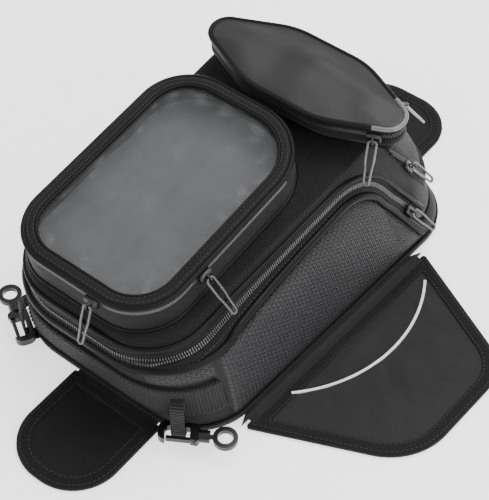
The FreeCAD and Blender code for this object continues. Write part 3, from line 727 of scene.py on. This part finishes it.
def round_the_body(distance, out, limit):
    """An open line beside the main zip, from the left rear round the front to the right rear."""
    pts, push = wall(zip_climb(distance), out * mm)
    keep = pts[:, 1] < limit
    start = int(np.argmax(keep & ~np.roll(keep, 1)))
    order = np.roll(np.arange(COLUMNS), -start)
    order = order[keep[order]]
    return pts[order], push[order]


path, push = round_the_body(-7.4, 2.3, zip_end - 4 * mm)
dress(tube("side_bead", path, 3.1 * mm, closed=False, up=push, wide=1.1), "piping", "tub", "panel_piping")
path, push = round_the_body(-11.2, 3.6, zip_end - 12 * mm)
dress(stitches("side_bead_stitches", path, push, closed=False), "thread", "tub")
print("side panels done")

# %% [markdown]
# ## Webbing across the front
# A ribbed strap is sewn round the front corners. At each corner a loop stands off it and
# holds a snap hook.


# %% Webbing band and corner loops
def wall_strip(name, z_low, z_high, out_low, out_high, keep, round_edge=0.8 * mm):
    """A strap that follows the wall over the columns where keep is true."""
    profile = [(z_low, out_low), (z_low, out_high - round_edge), (z_low + round_edge, out_high)]
    profile += [(z, out_high) for z in np.linspace(z_low, z_high, 8)[1:-1]]
    profile += [(z_high - round_edge, out_high), (z_high, out_high - round_edge), (z_high, out_low)]
    rows = [wall(height_climb(z), extra)[0][keep] for z, extra in profile]
    return skin(name, rows, wrap=False, wrap_rows=True)


wall_mid, _ = wall(height_climb((band_low.z + band_high.z) / 2))
front = wall_mid[:, 1] < band_high.y
band = wall_strip("webbing_band", band_low.z, band_high.z, 1.0 * mm, 4.4 * mm, front)
dress(band, "webbing", "tub", "web_band")
for k, z in enumerate((band_low.z + 2.4 * mm, band_high.z - 2.4 * mm)):
    line, push = wall(height_climb(z), 4.7 * mm)
    dress(stitches("band_stitches_%d" % k, line[front], push[front], closed=False), "thread", "tub")

for side, word in ((1, "right"), (-1, "left")):
    strap = Vector([c for c in joints[word + "_hook_swing"]["pos_m"]])
    away = Vector(joints[word + "_hook_swivel"]["axis"])
    out = Vector((away.y, -away.x, 0))
    if out.dot(strap) < 0:
        out = -out
    low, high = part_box("web_loops")
    line = []
    for depth, z in ((-13 * mm, high.z - 1 * mm), (-5 * mm, high.z - 1 * mm), (0, high.z - 6 * mm),
                     (0, (low.z + high.z) / 2), (0, low.z + 6 * mm), (-5 * mm, low.z + 1 * mm),
                     (-13 * mm, low.z + 1 * mm)):
        at = strap + out * depth
        line.append((at.x, at.y, z))
    dense = walk(np.array(line), 60, closed=False)
    for _ in range(10):
        dense[1:-1] = (dense[:-2] + dense[1:-1] * 2 + dense[2:]) / 4
    profile = [(-5 * mm, -0.8 * mm), (5 * mm, -0.8 * mm), (5.1 * mm, 0), (5 * mm, 0.8 * mm),
               (-5 * mm, 0.8 * mm), (-5.1 * mm, 0)]
    normal = np.cross(np.gradient(dense, axis=0), np.array(away))
    piece = sweep("corner_loop_" + word, dense, profile, closed=False, up=normal)
    dress(piece, "webbing", "tub")
    if side > 0:
        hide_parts("web_loops")
print("webbing done")

# %% [markdown]
# ## Foot binding and wing tabs
# A folded tape closes the foot of the walls. On both flanks a cloth tab sticks out under
# the panel and carries the wing.

# %% Foot
path, push = wall(height_climb(5.5 * mm), 0.8 * mm)
foot = sweep("foot_binding", path, [(-0.9 * mm, -3 * mm), (0.7 * mm, -3.4 * mm), (1.5 * mm, -2.4 * mm),
                                    (1.6 * mm, 1.8 * mm), (0.8 * mm, 2.8 * mm), (-0.9 * mm, 2.4 * mm)])
dress(foot, "binding", "tub", "base_binding")
line, push = wall(height_climb(7.0 * mm), 2.5 * mm)
dress(stitches("foot_stitches", line, push), "thread", "tub")
for side, word in ((1, "right"), (-1, "left")):
    pts = points_of("base_binding")
    pts = pts[(pts[:, 2] < 2.9 * mm) & (pts[:, 0] * side > 0)]
    loop = walk(hull(pts[:, :2]), 200)
    middle = loop.mean(0)
    rows = [upright(middle + (loop - middle) * share, 1.7 * mm) for share in np.linspace(0.05, 1, 10)]
    rows += [upright(loop, z * mm) for z in (2.0, 3.4)]
    rows += [upright(middle + (loop - middle) * share, 4.0 * mm) for share in np.linspace(0.985, 0.05, 10)]
    dress(skin("wing_tab_" + word, rows, flat_from=0), "wing", "tub")

# %% [markdown]
# ## Zips
# A zip is two woven tapes, each with a row of coil teeth. The rows sit half a tooth apart
# so that they mesh.


# %% Zip rows
def zip_row(name, path, up, pitch, size, shift, kind, body, keep=None, replaced=()):
    """One row of teeth along a closed outline, kept where keep() says."""
    total = np.linalg.norm(np.diff(np.vstack([path, path[:1]]), axis=0), axis=1).sum()
    count = int(total / pitch)
    centres = walk(path, count * 2)[shift::2]
    ahead, side, rise = frames_along(centres, True, up)
    if keep is not None:
        chosen = keep(centres)
        centres, ahead, side, rise = centres[chosen], ahead[chosen], side[chosen], rise[chosen]
    piece = blocks(name, centres, ahead, side, rise, size)
    return dress(piece, kind, body, *replaced)


def tooth_row(name, path, push, pitch, size, shift, kind, body, *replaced):
    """One row of teeth along an open line, standing off the cloth along push."""
    run = np.linalg.norm(np.diff(path, axis=0), axis=1).sum()
    count = int(run / pitch) * 2
    centres, rise = walk_pair(path, push, count, closed=False)
    centres, rise = centres[shift::2], rise[shift::2]
    ahead, side, rise = frames_along(centres, False, rise)
    return dress(blocks(name, centres, ahead, side, rise, size), kind, body, *replaced)


for word, body, shift, middle in (("lower", "tub", 0, 0.75), ("upper", "cover", 1, 2.45)):
    path, push = round_the_body(middle, 0.3, zip_end - 1 * mm)
    # The main zip's teeth take the paler teeth finish, which holds a painted highlight.
    tooth_row("main_teeth_" + word, path, push, 1.9 * mm, (1.25 * mm, 2.5 * mm, 2.2 * mm), shift,
              "teeth_painted_glint", body, "main_zip_" + word)


def tape(name, distances, kind, body, limit=zip_end + 3 * mm):
    rows = [round_the_body(d, e, limit)[0] for d, e in distances]
    count = min(len(row) for row in rows)
    return dress(skin(name, [walk(row, count, closed=False) for row in rows], wrap=False), kind, body)


tape("main_tape_lower", ((-7.0, 0.8), (-5.0, 1.9), (-2.5, 1.7), (-0.3, 1.1), (0.2, -1.2)), "tape", "tub")
tape("main_tape_upper", ((3.0, -1.2), (3.4, 1.1), (5.0, 1.5), (7.0, 0.8)), "tape", "cover")
path, push = round_the_body(-3.2, 2.1, zip_end)
dress(stitches("main_stitches_lower", path, push, closed=False), "thread", "tub")
print("main zip done")

# %% [markdown]
# ## The cover
# The cover rises from the main zip to the sloping deck. Its shoulder is full, and the deck
# under the pocket and the pouch is almost flat.

# %% Cover
cover_edge = zip_climb(3.2)
rows = []
for t in np.linspace(0, 1, 30):
    climb = cover_edge + (2.0 - cover_edge) * t
    base, _ = wall(climb)
    tall = np.clip((2.0 - cover_edge) / 1.2, 0.15, 1.0)
    swell = math.sin(math.pi * t) ** 0.8
    rows.append(wall(climb, (3.0 * mm * tall + ripple(base, 30 * mm, 3.0 * mm, 5.0) * tall) * swell)[0])
flat_start = len(rows)
deck_shares = (0.985, 0.95, 0.9, 0.83, 0.74, 0.62, 0.48, 0.32, 0.16, 0.02)
for share, flat, base in shrinking(deck_ring, deck_shares):
    rows.append(on_deck(flat, 0.6 * mm + ripple(base, 26 * mm, 2.6 * mm, 7.0) * min(1.0, (1 - share) * 8)))
cover = skin("cover_cloth", rows, flat_from=flat_start)
cover = thicken(dress(cover, "ballistic", None, inside="inner"), 2.2 * mm)
dress(cover, "ballistic", "cover", "cover_shell", inside="inner")
path, push = round_the_body(7.9, 1.6, zip_end + 2 * mm)
dress(tube("cover_bead", path, 2.2 * mm, closed=False, up=push), "piping", "cover", "cover_piping")
print("cover done")

# %% [markdown]
# ## Phone pocket
# A low wall, a zip on three sides, and a lid: a padded frame that holds a clear film.
# Under the film lies a grey lining.

# %% Pocket
pocket = outline("pocket_wall", 0.0, 13 * mm, deck=True)
wall_top = float((points_of("pocket_wall") @ DECK.T)[:, 2].max() - deck_zero)
rows = []
for t in np.linspace(0, 1, 10):
    rows.append(on_deck(grown(pocket, 1.2 * mm * math.sin(math.pi * t) + (1 - t) * 1.0 * mm), t * wall_top))
for inset, w in ((-1.6, wall_top), (-2.2, wall_top * 0.6), (-2.4, 1.5 * mm)):
    rows.append(on_deck(grown(pocket, inset * mm), w))
dress(skin("pocket_side", rows), "plain", "cover", "pocket_wall")
dress(tube("pocket_foot_piping", on_deck(grown(pocket, 1.6 * mm), 1.6 * mm), 1.7 * mm), "piping", "cover")

lining_loop = grown(pocket, -2.4 * mm)
rows = []
for share, flat, base in shrinking(lining_loop, np.linspace(1.0, 0.02, 30)):
    w = 4.2 * mm + ripple(base, 22 * mm, 2.0 * mm, 11.0) + ripple(base, 9 * mm, 0.6 * mm, 4.0)
    rows.append(on_deck(flat, w + 2 * mm * share ** 8))
lining = dress(skin("pocket_lining_cloth", rows, flat_from=0), "lining", "cover", "pocket_lining")


def deck_row(node):
    pts = points_of(node) @ DECK.T
    w = pts[:, 2] - deck_zero
    return float(w.min()), float(w.max()), float(pts[:, 1].max())


for word, node, body, shift in (("lower", "pocket_zip_lower", "cover", 0),
                                ("upper", "window_zip", "window_lid", 1)):
    w_low, w_high, v_end = deck_row(node)
    path = on_deck(grown(pocket, -0.4 * mm), (w_low + w_high) / 2)
    keep = lambda c, limit=v_end: (c @ DECK.T)[:, 1] < limit
    # The pocket zips' teeth take the paler teeth finish, which holds a painted highlight.
    zip_row("pocket_teeth_" + word, path, DECK[2], 1.7 * mm, (1.1 * mm, 3.0 * mm, 1.55 * mm), shift,
            "teeth_painted_glint", body, keep, (node,))

frame_low, frame_high, _ = deck_row("window_frame")
profile = [(1.2, 0.2), (0.2, 0.7), (0.0, 2.2), (0.1, 4.0), (0.9, 5.1), (2.2, 5.6), (4.4, 5.8), (6.6, 5.5),
           (8.2, 4.9), (8.9, 4.0), (8.9, 2.6), (7.6, 1.2), (3.5, 0.3)]
rows = [on_deck(grown(pocket, -inset * mm), frame_low + w * mm) for inset, w in profile]
band = skin("window_band", rows[::-1], wrap_rows=True)
dress(band, "plain", "window_lid", "window_frame")
outer_pipe = tube("window_pipe", on_deck(grown(pocket, 0.7 * mm), frame_high - 1.4 * mm), 2.0 * mm)
dress(outer_pipe, "piping", "window_lid", "window_piping")
inner_pipe = tube("window_inner_pipe", on_deck(grown(pocket, -8.6 * mm), frame_high - 0.3 * mm), 1.3 * mm)
dress(inner_pipe, "piping", "window_lid")
for k, inset in enumerate((2.6, 6.6)):
    line = on_deck(grown(pocket, -inset * mm), frame_low + 5.85 * mm)
    dress(stitches("window_stitches_%d" % k, line, DECK[2]), "thread", "window_lid")

film_loop = grown(pocket, -7.8 * mm)
film_low = deck_row("window_pane")[0]
rows = []
for share, flat, base in shrinking(film_loop, np.linspace(1.0, 0.02, 44)):
    rim_wave = ripple(base, 12 * mm, 2.6 * mm, 20.0) * math.exp(-((share - 0.9) / 0.09) ** 2)
    soft = ripple(base, 40 * mm, 1.8 * mm, 13.0) * (1 - share ** 6)
    rows.append(on_deck(flat, film_low + 0.4 * mm + rim_wave + soft))
dress(skin("window_film", rows, flat_from=0), "film", "window_lid", "window_pane")
print("pocket done")

# %% [markdown]
# ## The pouch
# A lens-shaped pouch whose wall narrows towards the deck, with a crowned lid. The lid's
# piping is painted paler at the right-hand end: a painted highlight for a glint there.

# %% Pouch
pouch_low = outline("pouch_wall", 0.0, 0.0, deck=True)
pouch_top_w = deck_row("pouch_wall")[1]
pouch_ring = outline("pouch_wall", pouch_top_w, pouch_top_w, deck=True)
rows = []
for t in np.linspace(0, 1, 18):
    flat = pouch_low * (1 - t) + pouch_ring * t
    base = on_deck(flat, t * pouch_top_w)
    out = 2.0 * mm * math.sin(math.pi * t) + ripple(base, 20 * mm, 2.8 * mm, 17.0) * math.sin(math.pi * t)
    rows.append(on_deck(grown(flat, out), t * pouch_top_w))
pouch = thicken(dress(skin("pouch_cloth", rows), "mesh", None, inside="inner"), 1.8 * mm)
dress(pouch, "mesh", "cover", "pouch_wall", inside="inner")
dress(tube("pouch_seam", on_deck(grown(pouch_low, 0.8 * mm), 1.2 * mm), 1.4 * mm), "piping", "cover")

for word, node, body, shift in (("lower", "pouch_zip_lower", "cover", 0),
                                ("upper", "pouch_zip_upper", "pouch_lid", 1)):
    w_low, w_high, v_end = deck_row(node)
    path = on_deck(grown(pouch_ring, -0.4 * mm), (w_low + w_high) / 2)
    keep = lambda c, limit=v_end: (c @ DECK.T)[:, 1] < limit
    zip_row("pouch_teeth_" + word, path, DECK[2], 1.7 * mm, (1.1 * mm, 3.0 * mm, 1.55 * mm), shift,
            "teeth", body, keep, (node,))
tape_rows = [on_deck(grown(pouch_ring, e * mm), pouch_top_w + w * mm) for w, e in
             ((-7.0, 1.0), (-6.4, 1.6), (-3.0, 1.4), (-0.6, 0.9), (0.2, -0.8))]
dress(skin("pouch_tape_lower", tape_rows), "tape", "cover")

lid_low = deck_row("pouch_top")[0]
ridge_v = pouch_ring[:, 1].mean() + 11 * mm
edge_w = lid_low + 7.0 * mm
rows = [on_deck(grown(pouch_ring, -2.0 * mm), lid_low + 0.4 * mm),
        on_deck(grown(pouch_ring, 0.2 * mm), lid_low + 0.2 * mm)]
for w in (1.5, 3.5, 5.5, 7.0):
    rows.append(on_deck(grown(pouch_ring, 0.5 * mm), lid_low + w * mm))
flat_start = len(rows)
for share, flat, base in shrinking(pouch_ring, np.linspace(0.97, 0.02, 24)):
    ridge = np.exp(-((flat[:, 1] - ridge_v) / (9 * mm)) ** 2) * 1.8 * mm
    crown = 4.2 * mm * (1 - share ** 2.4)
    soft = ripple(base, 26 * mm, 2.0 * mm, 23.0) * (1 - share ** 5)
    rows.append(on_deck(flat, edge_w + crown + ridge * (1 - share ** 4) + soft))
lid = skin("pouch_lid_cloth", rows, flat_from=flat_start)
lid = thicken(dress(lid, "satin", None, inside="inner"), 1.6 * mm)
dress(lid, "satin", "pouch_lid", "pouch_top", inside="inner")

# The piping beyond the pouch_glow node's left edge takes the paler finish: a painted highlight.
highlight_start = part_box("pouch_glow")[0].x
pipe_w = deck_row("pouch_piping")
for k, (w, radius) in enumerate(((pipe_w[1] - 1.0 * mm, 1.9 * mm), (pipe_w[0] - 1.4 * mm, 1.3 * mm))):
    path = on_deck(grown(pouch_ring, 1.1 * mm), w)
    if k == 1:
        dress(tube("lid_pipe_low", path, radius), "piping", "pouch_lid", "pouch_piping")
        continue
    lit = path[:, 0] > highlight_start
    start = int(np.argmax(lit & ~np.roll(lit, 1)))
    path = np.roll(path, -start, 0)
    lit = np.roll(lit, -start)
    bright = path[:lit.sum() + 1]
    dark = np.vstack([path[lit.sum():], path[:1]])
    dress(tube("lid_pipe_painted_highlight", bright, radius, closed=False), "pipe_glow", "pouch_lid", "pouch_glow")
    dress(tube("lid_pipe", dark, radius, closed=False), "piping", "pouch_lid")
print("pouch done")

# %% [markdown]
# ## Rear zip
# A short zip runs down the rear right corner of the cover, beside the main zip.

# %% Rear zip
rear_low, rear_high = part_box("rear_zip")
line, _ = wall(zip_climb(27.0))
behind = (line[:, 0] > 0) & (line[:, 1] > rear_low.y)
behind &= (line[:, 2] > rear_low.z) & (line[:, 2] < rear_high.z)
start = int(np.argmax(behind & ~np.roll(behind, 1)))
order = np.roll(np.arange(COLUMNS), -start)
order = order[behind[order]]
rows = [wall(zip_climb(27.0 + d), e * mm)[0][order] for d, e in
        ((-5.6, 1.2), (-5.0, 2.6), (-1.6, 3.0), (1.6, 3.0), (5.0, 2.6), (5.6, 1.2))]
dress(skin("rear_zip_tape", rows, wrap=False), "tape", "cover", "rear_zip")
for k, d in enumerate((-0.75, 0.75)):
    path, push = wall(zip_climb(27.0 + d), 3.4 * mm)
    tooth_row("rear_teeth_%d" % k, path[order], push[order], 1.7 * mm, (1.1 * mm, 2.2 * mm, 1.5 * mm), k,
              "teeth", "cover")
print("rear zip done")

# %% [markdown]
# ## Flaps and wings
# Two layers of cloth with magnets between them, inside a wide bound rim with two lines of
# stitches. A strip of cloth bridges each root. The left wing is the right
# one mirrored and folded up.


# %% Flaps
def leaf(name, loop, body, kind, mid, thick, waves, seed, replaced, place=lambda p: p):
    """A thin pillow inside a bound edge. place() carries the flat piece to its rest place."""
    middle = loop.mean(0)
    inset = drawn_in(loop, 2.5 * mm)
    rows = []
    shares = np.linspace(0.02, 1.0, 34)

    def height(flat, share):
        base = upright(flat, 0.0)
        wave = np.abs(ripple(base, 34 * mm, waves, seed))
        wave = wave + np.abs(ripple(base, 15 * mm, waves * 0.35, seed + 3))
        return mid + wave * np.clip((0.84 - share) * 5, 0, 1)

    for share in shares:
        flat = middle + (inset - middle) * share
        sag = (height(flat, share) - mid) * 0.18
        rows.append(upright(flat, mid - sag - thick / 2 * (1 - share ** 12 * 0.4)))
    for share in shares[::-1]:
        flat = middle + (inset - middle) * share
        rows.append(upright(flat, height(flat, share) + thick / 2 * (1 - share ** 12 * 0.4)))
    grid = place(np.array(rows))
    cloth = skin(name + "_cloth", grid, flat_from=0)
    flat_rows = np.array(rows)
    layer = cloth.data.uv_layers[0].data
    plan = flat_rows.reshape(-1, 3)
    for entry, corner in zip(layer, cloth.data.loops):
        entry.uv = plan[corner.vertex_index][:2]
    dress(cloth, kind, body, replaced[0])
    profile = [(0.0, 0.0), (0.2, 1.3), (1.2, 1.9), (3.9, 2.0), (10.0, 1.9), (11.0, 1.2), (11.0, -1.2),
               (10.0, -1.8), (3.9, -2.0), (1.2, -2.0), (0.2, -1.3)]
    grid = np.array([upright(drawn_in(loop, a * mm), mid + b * mm) for a, b in profile])
    edge = skin(name + "_binding", place(grid[::-1]), wrap_rows=True)
    dress(edge, "binding", body, replaced[1])
    origin = place(np.zeros((1, 3)))
    turn = lambda vectors: place(vectors) - origin
    for k, inset in enumerate((3.0, 9.2)):
        line = upright(drawn_in(loop, inset * mm), mid + 2.05 * mm)
        count = int(np.linalg.norm(np.diff(line, axis=0), axis=1).sum() / (3.6 * mm))
        centres = walk(line, count)
        ahead, sideways, rise = frames_along(centres, True, (0, 0, 1))
        dress(blocks("%s_stitches_%d" % (name, k), place(centres), turn(ahead), turn(sideways), turn(rise),
                     (2.5 * mm, 0.7 * mm, 0.5 * mm)), "thread", body)
    return cloth


for word in ("front_flap", "rear_flap"):
    low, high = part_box(word + "_edge")
    loop = outline(word + "_edge", low.z, high.z, count=260)
    leaf(word, loop, word + "_body", "plain", (low.z + high.z) / 2, 2.6 * mm, 1.5 * mm, 31.0,
         (word, word + "_edge"))

low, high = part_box("right_wing_edge")
wing_loop = outline("right_wing_edge", low.z, high.z, count=320)
leaf("right_wing", wing_loop, "right_wing_body", "wing", (low.z + high.z) / 2, 2.6 * mm, 3.2 * mm, 41.0,
     ("right_wing", "right_wing_edge"))

spread = joints["left_wing_spread"]
pivot = Vector(spread["pos_m"])
angle = math.radians(spread["range_deg"][1])
turned = Matrix.Rotation(-angle, 4, Vector(spread["axis"]))
fold = np.array(Matrix.Translation(pivot) @ turned @ Matrix.Translation(-pivot))


def fold_left(points):
    """Mirrors the right wing's points and folds them up to the left wing's rest place."""
    mirrored = np.asarray(points) * np.array([-1, 1, 1])
    return mirrored @ fold[:3, :3].T + fold[:3, 3]


leaf("left_wing", wing_loop, "left_wing_body", "wing", (low.z + high.z) / 2, 2.6 * mm, 1.2 * mm, 47.0,
     ("left_wing", "left_wing_edge"), place=fold_left)


def hinge_cloth(joint, inner, outer, width, body):
    """A strip across a root: sewn to the bag on one side and to the leaf on the other."""
    at = np.array(joint["pos_m"])
    line = np.array(joint["axis"], float)
    away = np.cross(line, (0, 0, 1))
    if away @ np.array([at[0], at[1] * (abs(away[1]) > 0.9), 0]) < 0:
        away = -away
    along = np.outer(np.linspace(width[0], width[1], 40), line)
    rows = []
    for share in np.linspace(0, 1, 9):
        rise = 2.5 * mm - 0.7 * mm * math.sin(math.pi * share)
        rows.append(at + away * (inner + (outer - inner) * share) + along + np.array([0, 0, rise]))
    name = "right_wing_root" if body == "right_wing_body" else body + "_root"
    piece = dress(skin(name, rows, wrap=False), "wing", None)
    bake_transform(piece)


wing_span = wing_loop[:, 1]
for word, half in (("front_flap", 38 * mm), ("rear_flap", 45 * mm)):
    hinge_cloth(joints[word + "_lift"], -4.2 * mm, 3.5 * mm, (-half, half), word + "_body")
hinge_cloth(joints["right_wing_lift"], -4.4 * mm, 3.5 * mm,
            (5 * mm - wing_span.max(), -5 * mm - wing_span.min()), "right_wing_body")
print("flaps and wings done")

# %% [markdown]
# ## Sliders and pulls
# Each slider is a small cast body with an arch; the pull is a long wire loop through it.


# %% Sliders
def rounded_box(name, size, radius, place):
    """A box with rounded edges: length, height and width along the local axes."""
    steps = np.linspace(-1, 1, 9)
    rows = []
    for a in np.linspace(-math.pi / 2, math.pi / 2, 9):
        ring = []
        for b in np.linspace(0, 2 * math.pi, 24, endpoint=False):
            direction = np.array([math.cos(a) * math.cos(b), math.cos(a) * math.sin(b), math.sin(a)])
            core = np.sign(np.round(direction, 6)) * (np.array(size) / 2 - radius)
            ring.append(core + direction * radius)
        rows.append(ring)
    grid = np.array(rows)
    return skin(name, grid @ place[:3, :3].T + place[:3, 3])


for prefix in ("main", "pocket_side", "pocket_front", "pouch_front", "pouch_rear", "rear"):
    swing = joints[prefix + "_pull_swing"]
    pin = np.array(swing["pos_m"])
    along = np.array(joints[prefix + "_slide"]["axis"], float)
    low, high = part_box(prefix + "_slider")
    pts = points_of(prefix + "_slider")
    out = pin - (pts.min(0) + pts.max(0)) / 2
    out -= along * out.dot(along)
    out /= np.linalg.norm(out)
    rise = np.cross(along, out)
    depth = pts @ out
    foot = float(depth.min())
    middle = (float((pts @ along).min()) + float((pts @ along).max())) / 2
    level = float(pin @ rise)
    place = np.eye(4)
    place[:3, 0], place[:3, 1], place[:3, 2] = along, out, rise
    place[:3, 3] = along * middle + out * (foot + 2.3 * mm) + rise * level
    plate = rounded_box(prefix + "_slider_plate", (11.4 * mm, 4.2 * mm, 7.2 * mm), 1.2 * mm, place)
    dress(plate, "slider", prefix + "_slider_body", prefix + "_slider")
    across = np.array(swing["axis"], float)
    straddle = np.cross(across, out)
    arch = []
    for turn in np.linspace(0, math.pi, 13):
        lift = 2.3 * mm * math.sin(turn) - 0.4 * mm
        arch.append(pin + straddle * 2.6 * mm * math.cos(turn) + out * lift)
    arch = [arch[0] - out * 2.2 * mm] + arch + [arch[-1] - out * 2.2 * mm]
    dress(tube(prefix + "_slider_arch", np.array(arch), 0.75 * mm, closed=False, up=across), "slider",
          prefix + "_slider_body")
    pull = points_of(prefix + "_pull")
    reach = pull.mean(0) - pin
    reach -= across * reach.dot(across)
    reach /= np.linalg.norm(reach)
    length = float(((pull - pin) @ reach).max())
    flat = np.cross(reach, across)
    path = []
    half = 3.1 * mm
    for a, b in ((0, -half * 0.8), (0.4, -half), (14, -half), (20, -half * 0.75),
                 (length / mm - 1.2, -half * 0.62),
                 (length / mm - 0.4, 0), (length / mm - 1.2, half * 0.62), (20, half * 0.75), (14, half),
                 (0.4, half), (0, half * 0.8)):
        path.append(pin + reach * a * mm + across * b)
    path = walk(np.array(path), 90)
    for _ in range(3):
        path = (np.roll(path, 1, 0) + path * 2 + np.roll(path, -1, 0)) / 4
    dress(tube(prefix + "_pull_wire", path, 0.95 * mm, up=flat), "pull", prefix + "_pull_body",
          prefix + "_pull")
print("sliders done")

# %% [markdown]
# ## Pieces kept from the frame
# Hard pieces already have their true shape and only need their finish.

# %% Kept pieces
kept = {"grip_mat": "grip", "base_foam": "foam", "base_board": "inner"}
for word in ("front_flap", "rear_flap", "right_wing", "left_wing"):
    kept[word + "_magnets"] = "steel"
for side in ("right", "left"):
    kept[side + "_wing_glow"] = "silver"
    for end in ("_hook", "_hook_gate", "_hook_eye"):
        kept[side + end] = "hook"
for node, kind in kept.items():
    nodes[node].data.materials.clear()
    nodes[node].data.materials.append(finish[kind])
print("kept pieces done")

# %% [markdown]
# ## Floor, light and camera
# A pale floor, large soft lights, and a camera above the right front corner.

# %% Stage
floor = make_mesh("floor", [(-6, -6, 0), (6, -6, 0), (6, 6, 0), (-6, 6, 0)], [[0, 1, 2, 3]])
paper = bpy.data.materials.new("paper")
paper.use_nodes = True
for key, value in (("Base Color", (0.9, 0.9, 0.9, 1)), ("Roughness", 0.9), ("Emission Color", (1, 1, 1, 1)),
                   ("Emission Strength", 1.2)):
    paper.node_tree.nodes["Principled BSDF"].inputs[key].default_value = value
floor.data.materials.append(paper)
floor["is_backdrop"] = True

world = bpy.data.worlds.new("studio")
world.use_nodes = True
world.node_tree.nodes["Background"].inputs["Color"].default_value = (1, 1, 1, 1)
world.node_tree.nodes["Background"].inputs["Strength"].default_value = 0.9
bpy.context.scene.world = world


def softbox(name, place, aim, size, power):
    light = bpy.data.lights.new(name, "AREA")
    light.shape = "RECTANGLE"
    light.size, light.size_y = size
    light.energy = power
    lamp = bpy.data.objects.new(name, light)
    lamp.location = place
    lamp.rotation_euler = (Vector(aim) - Vector(place)).to_track_quat("-Z", "Y").to_euler()
    bpy.context.scene.collection.objects.link(lamp)


softbox("top_light", (0.2, 0.6, 1.5), (0, 0, 0.05), (1.4, 1.0), 26)
softbox("side_light", (1.5, -0.2, 0.9), (0, 0, 0.05), (1.0, 1.0), 14)
softbox("front_light", (-0.6, -1.6, 1.0), (0, 0, 0.05), (1.2, 0.8), 9)

azimuth, elevation = math.radians(38.2), math.radians(49.5)
right = Vector((math.cos(azimuth), math.sin(azimuth), 0))
level = math.cos(elevation)
back = Vector((math.sin(azimuth) * level, -math.cos(azimuth) * level, math.sin(elevation)))
up = back.cross(right)
focal = 1500.0
per_mm = 1.29
distance = focal / per_mm
aim = right * 0.0186 + up * 0.0182 + Vector((0, -0.016, 0))
camera_data = bpy.data.cameras.new("camera")
camera_data.sensor_width = 36
camera_data.lens = focal * 36 / 500
camera = bpy.data.objects.new("camera", camera_data)
camera.location = aim + back * distance * mm
camera.rotation_euler = back.to_track_quat("Z", "Y").to_euler()
bpy.context.scene.collection.objects.link(camera)
bpy.context.scene.camera = camera

# %% Close
low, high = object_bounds()
print("size", [round(v, 3) for v in low], [round(v, 3) for v in high])
